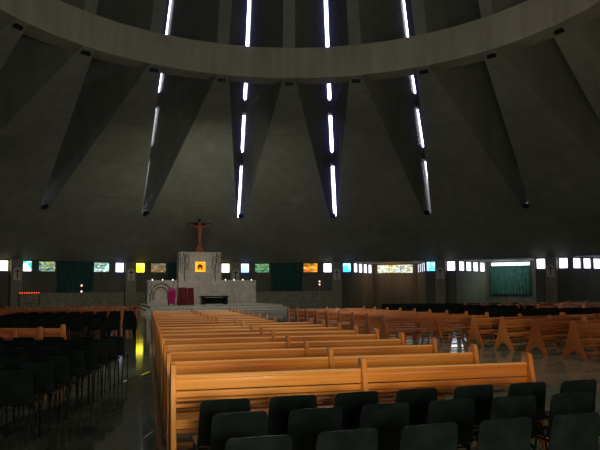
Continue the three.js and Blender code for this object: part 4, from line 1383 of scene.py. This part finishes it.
# Camera: inside the hall by the entrance, at an eye height of 1.63 m above the floor
photoView = {"place": (-9.575, -29.13, 1.78), "heading": 18.42, "pitch": 5.69, "roll": -0.344,
             "lens": 39.42}
scene = bpy.context.scene
camera = plainObject("camera", bpy.data.cameras.new("camera"))
camera.data.lens = photoView["lens"]
camera.data.sensor_width = 36
camera.data.clip_start = 0.05
camera.data.clip_end = 400
camera.matrix_world = (Matrix.Translation(Vector(photoView["place"]) * modelScale)
                       @ Matrix.Rotation(-math.radians(photoView["heading"]), 4, "Z")
                       @ Matrix.Rotation(math.radians(90 + photoView["pitch"]), 4, "X")
                       @ Matrix.Rotation(math.radians(photoView["roll"]), 4, "Z"))
scene.camera = camera


# Plain pale ground round the church, and soft studio light
@meshShape
def studioGround(bm):
    bmesh.ops.create_grid(bm, x_segments=1, y_segments=1, size=1500)
    bmesh.ops.translate(bm, vec=(0, 0, -0.01), verts=bm.verts)


studioFloor = plainObject("studioFloor", studioGround())
palePaper = setSurface(newMaterial("palePaper")[0], Base_Color="#c9c7c2", Roughness=0.9)
studioFloor.data.materials.append(palePaper)

scene.world = bpy.data.worlds.new("softSky")
scene.world.use_nodes = True
sky = scene.world.node_tree.nodes["Background"]
sky.inputs["Color"].default_value = linear("#e4e9f2")
sky.inputs["Strength"].default_value = 0.9
scene.view_settings.view_transform = "Standard"


def addLight(name, kind, energy, color, place, aim=None, glossy=False, **settings):
    lamp = bpy.data.lights.new(name, kind)
    lamp.energy = energy
    lamp.color = linear(color)[:3]
    for key, value in settings.items():
        setattr(lamp, key, value)
    made = plainObject(name, lamp)
    made.location = Vector(place) * modelScale
    if aim:
        made.rotation_euler = (Vector(aim) - Vector(place)).to_track_quat("-Z", "Y").to_euler()
    made.visible_camera = False
    made.visible_glossy = glossy
    made.visible_transmission = False


addLight("studioSun", "SUN", 1.6, "#fff3e2", (0, 0, 0), aim=(0.5, 0.8, -0.7), angle=math.radians(25))
addLight("hallGlow", "POINT", 270, "#f2f8e8", (0, -8, 7), shadow_soft_size=2)
addLight("warmGlow", "POINT", 160, "#ffdfa4", (5, -8, 9), shadow_soft_size=2)
inChapel = Vector((0, 39.5, 3.9))
addLight("leftChapelGlow", "POINT", 40, "#ffb878", bayTurn(2) @ inChapel, shadow_soft_size=0.5)
addLight("rightChapelGlow", "POINT", 60, "#eefff6", bayTurn(3) @ inChapel, shadow_soft_size=0.5)
addLight("seatGlow", "AREA", 95, "#ffeeda", (-4, -16, 10), aim=(-3, -12, 0), shape="DISK", size=6)
addLight("entranceGlow", "AREA", 260, "#fff6ea", (-8.7, -33.4, 2.15), aim=(-7.8, -15, 0.9),
         shape="RECTANGLE", size=1.6, size_y=0.8)
addLight("doorGlow", "SPOT", 140, "#fff2e2", (-8.86, -33, 2.2), aim=(-8.7, -21.5, 0.7), glossy=True,
         spot_size=math.radians(9), spot_blend=0.7, shadow_soft_size=0.15)
addLight("altarGlow", "AREA", 96, "#fff7ea", (-1, 17, 9), aim=(0.5, 28, 2.5), shape="DISK", size=2)
print("camera and lights placed")

# Bloom of the bright glass, as a small camera makes it
scene.use_nodes = True
scene.node_tree.nodes.clear()
picture = addNode(scene.node_tree, "CompositorNodeRLayers", out="Image")
bloom = addNode(scene.node_tree, "CompositorNodeGlare", {
    "Image": picture, "Threshold": 1, "Strength": 0.3, "Size": 0.12, "Tint": "#8f86ff"},
    glare_type="FOG_GLOW", quality="HIGH")
addNode(scene.node_tree, "CompositorNodeComposite", [bloom])
print("bloom set")
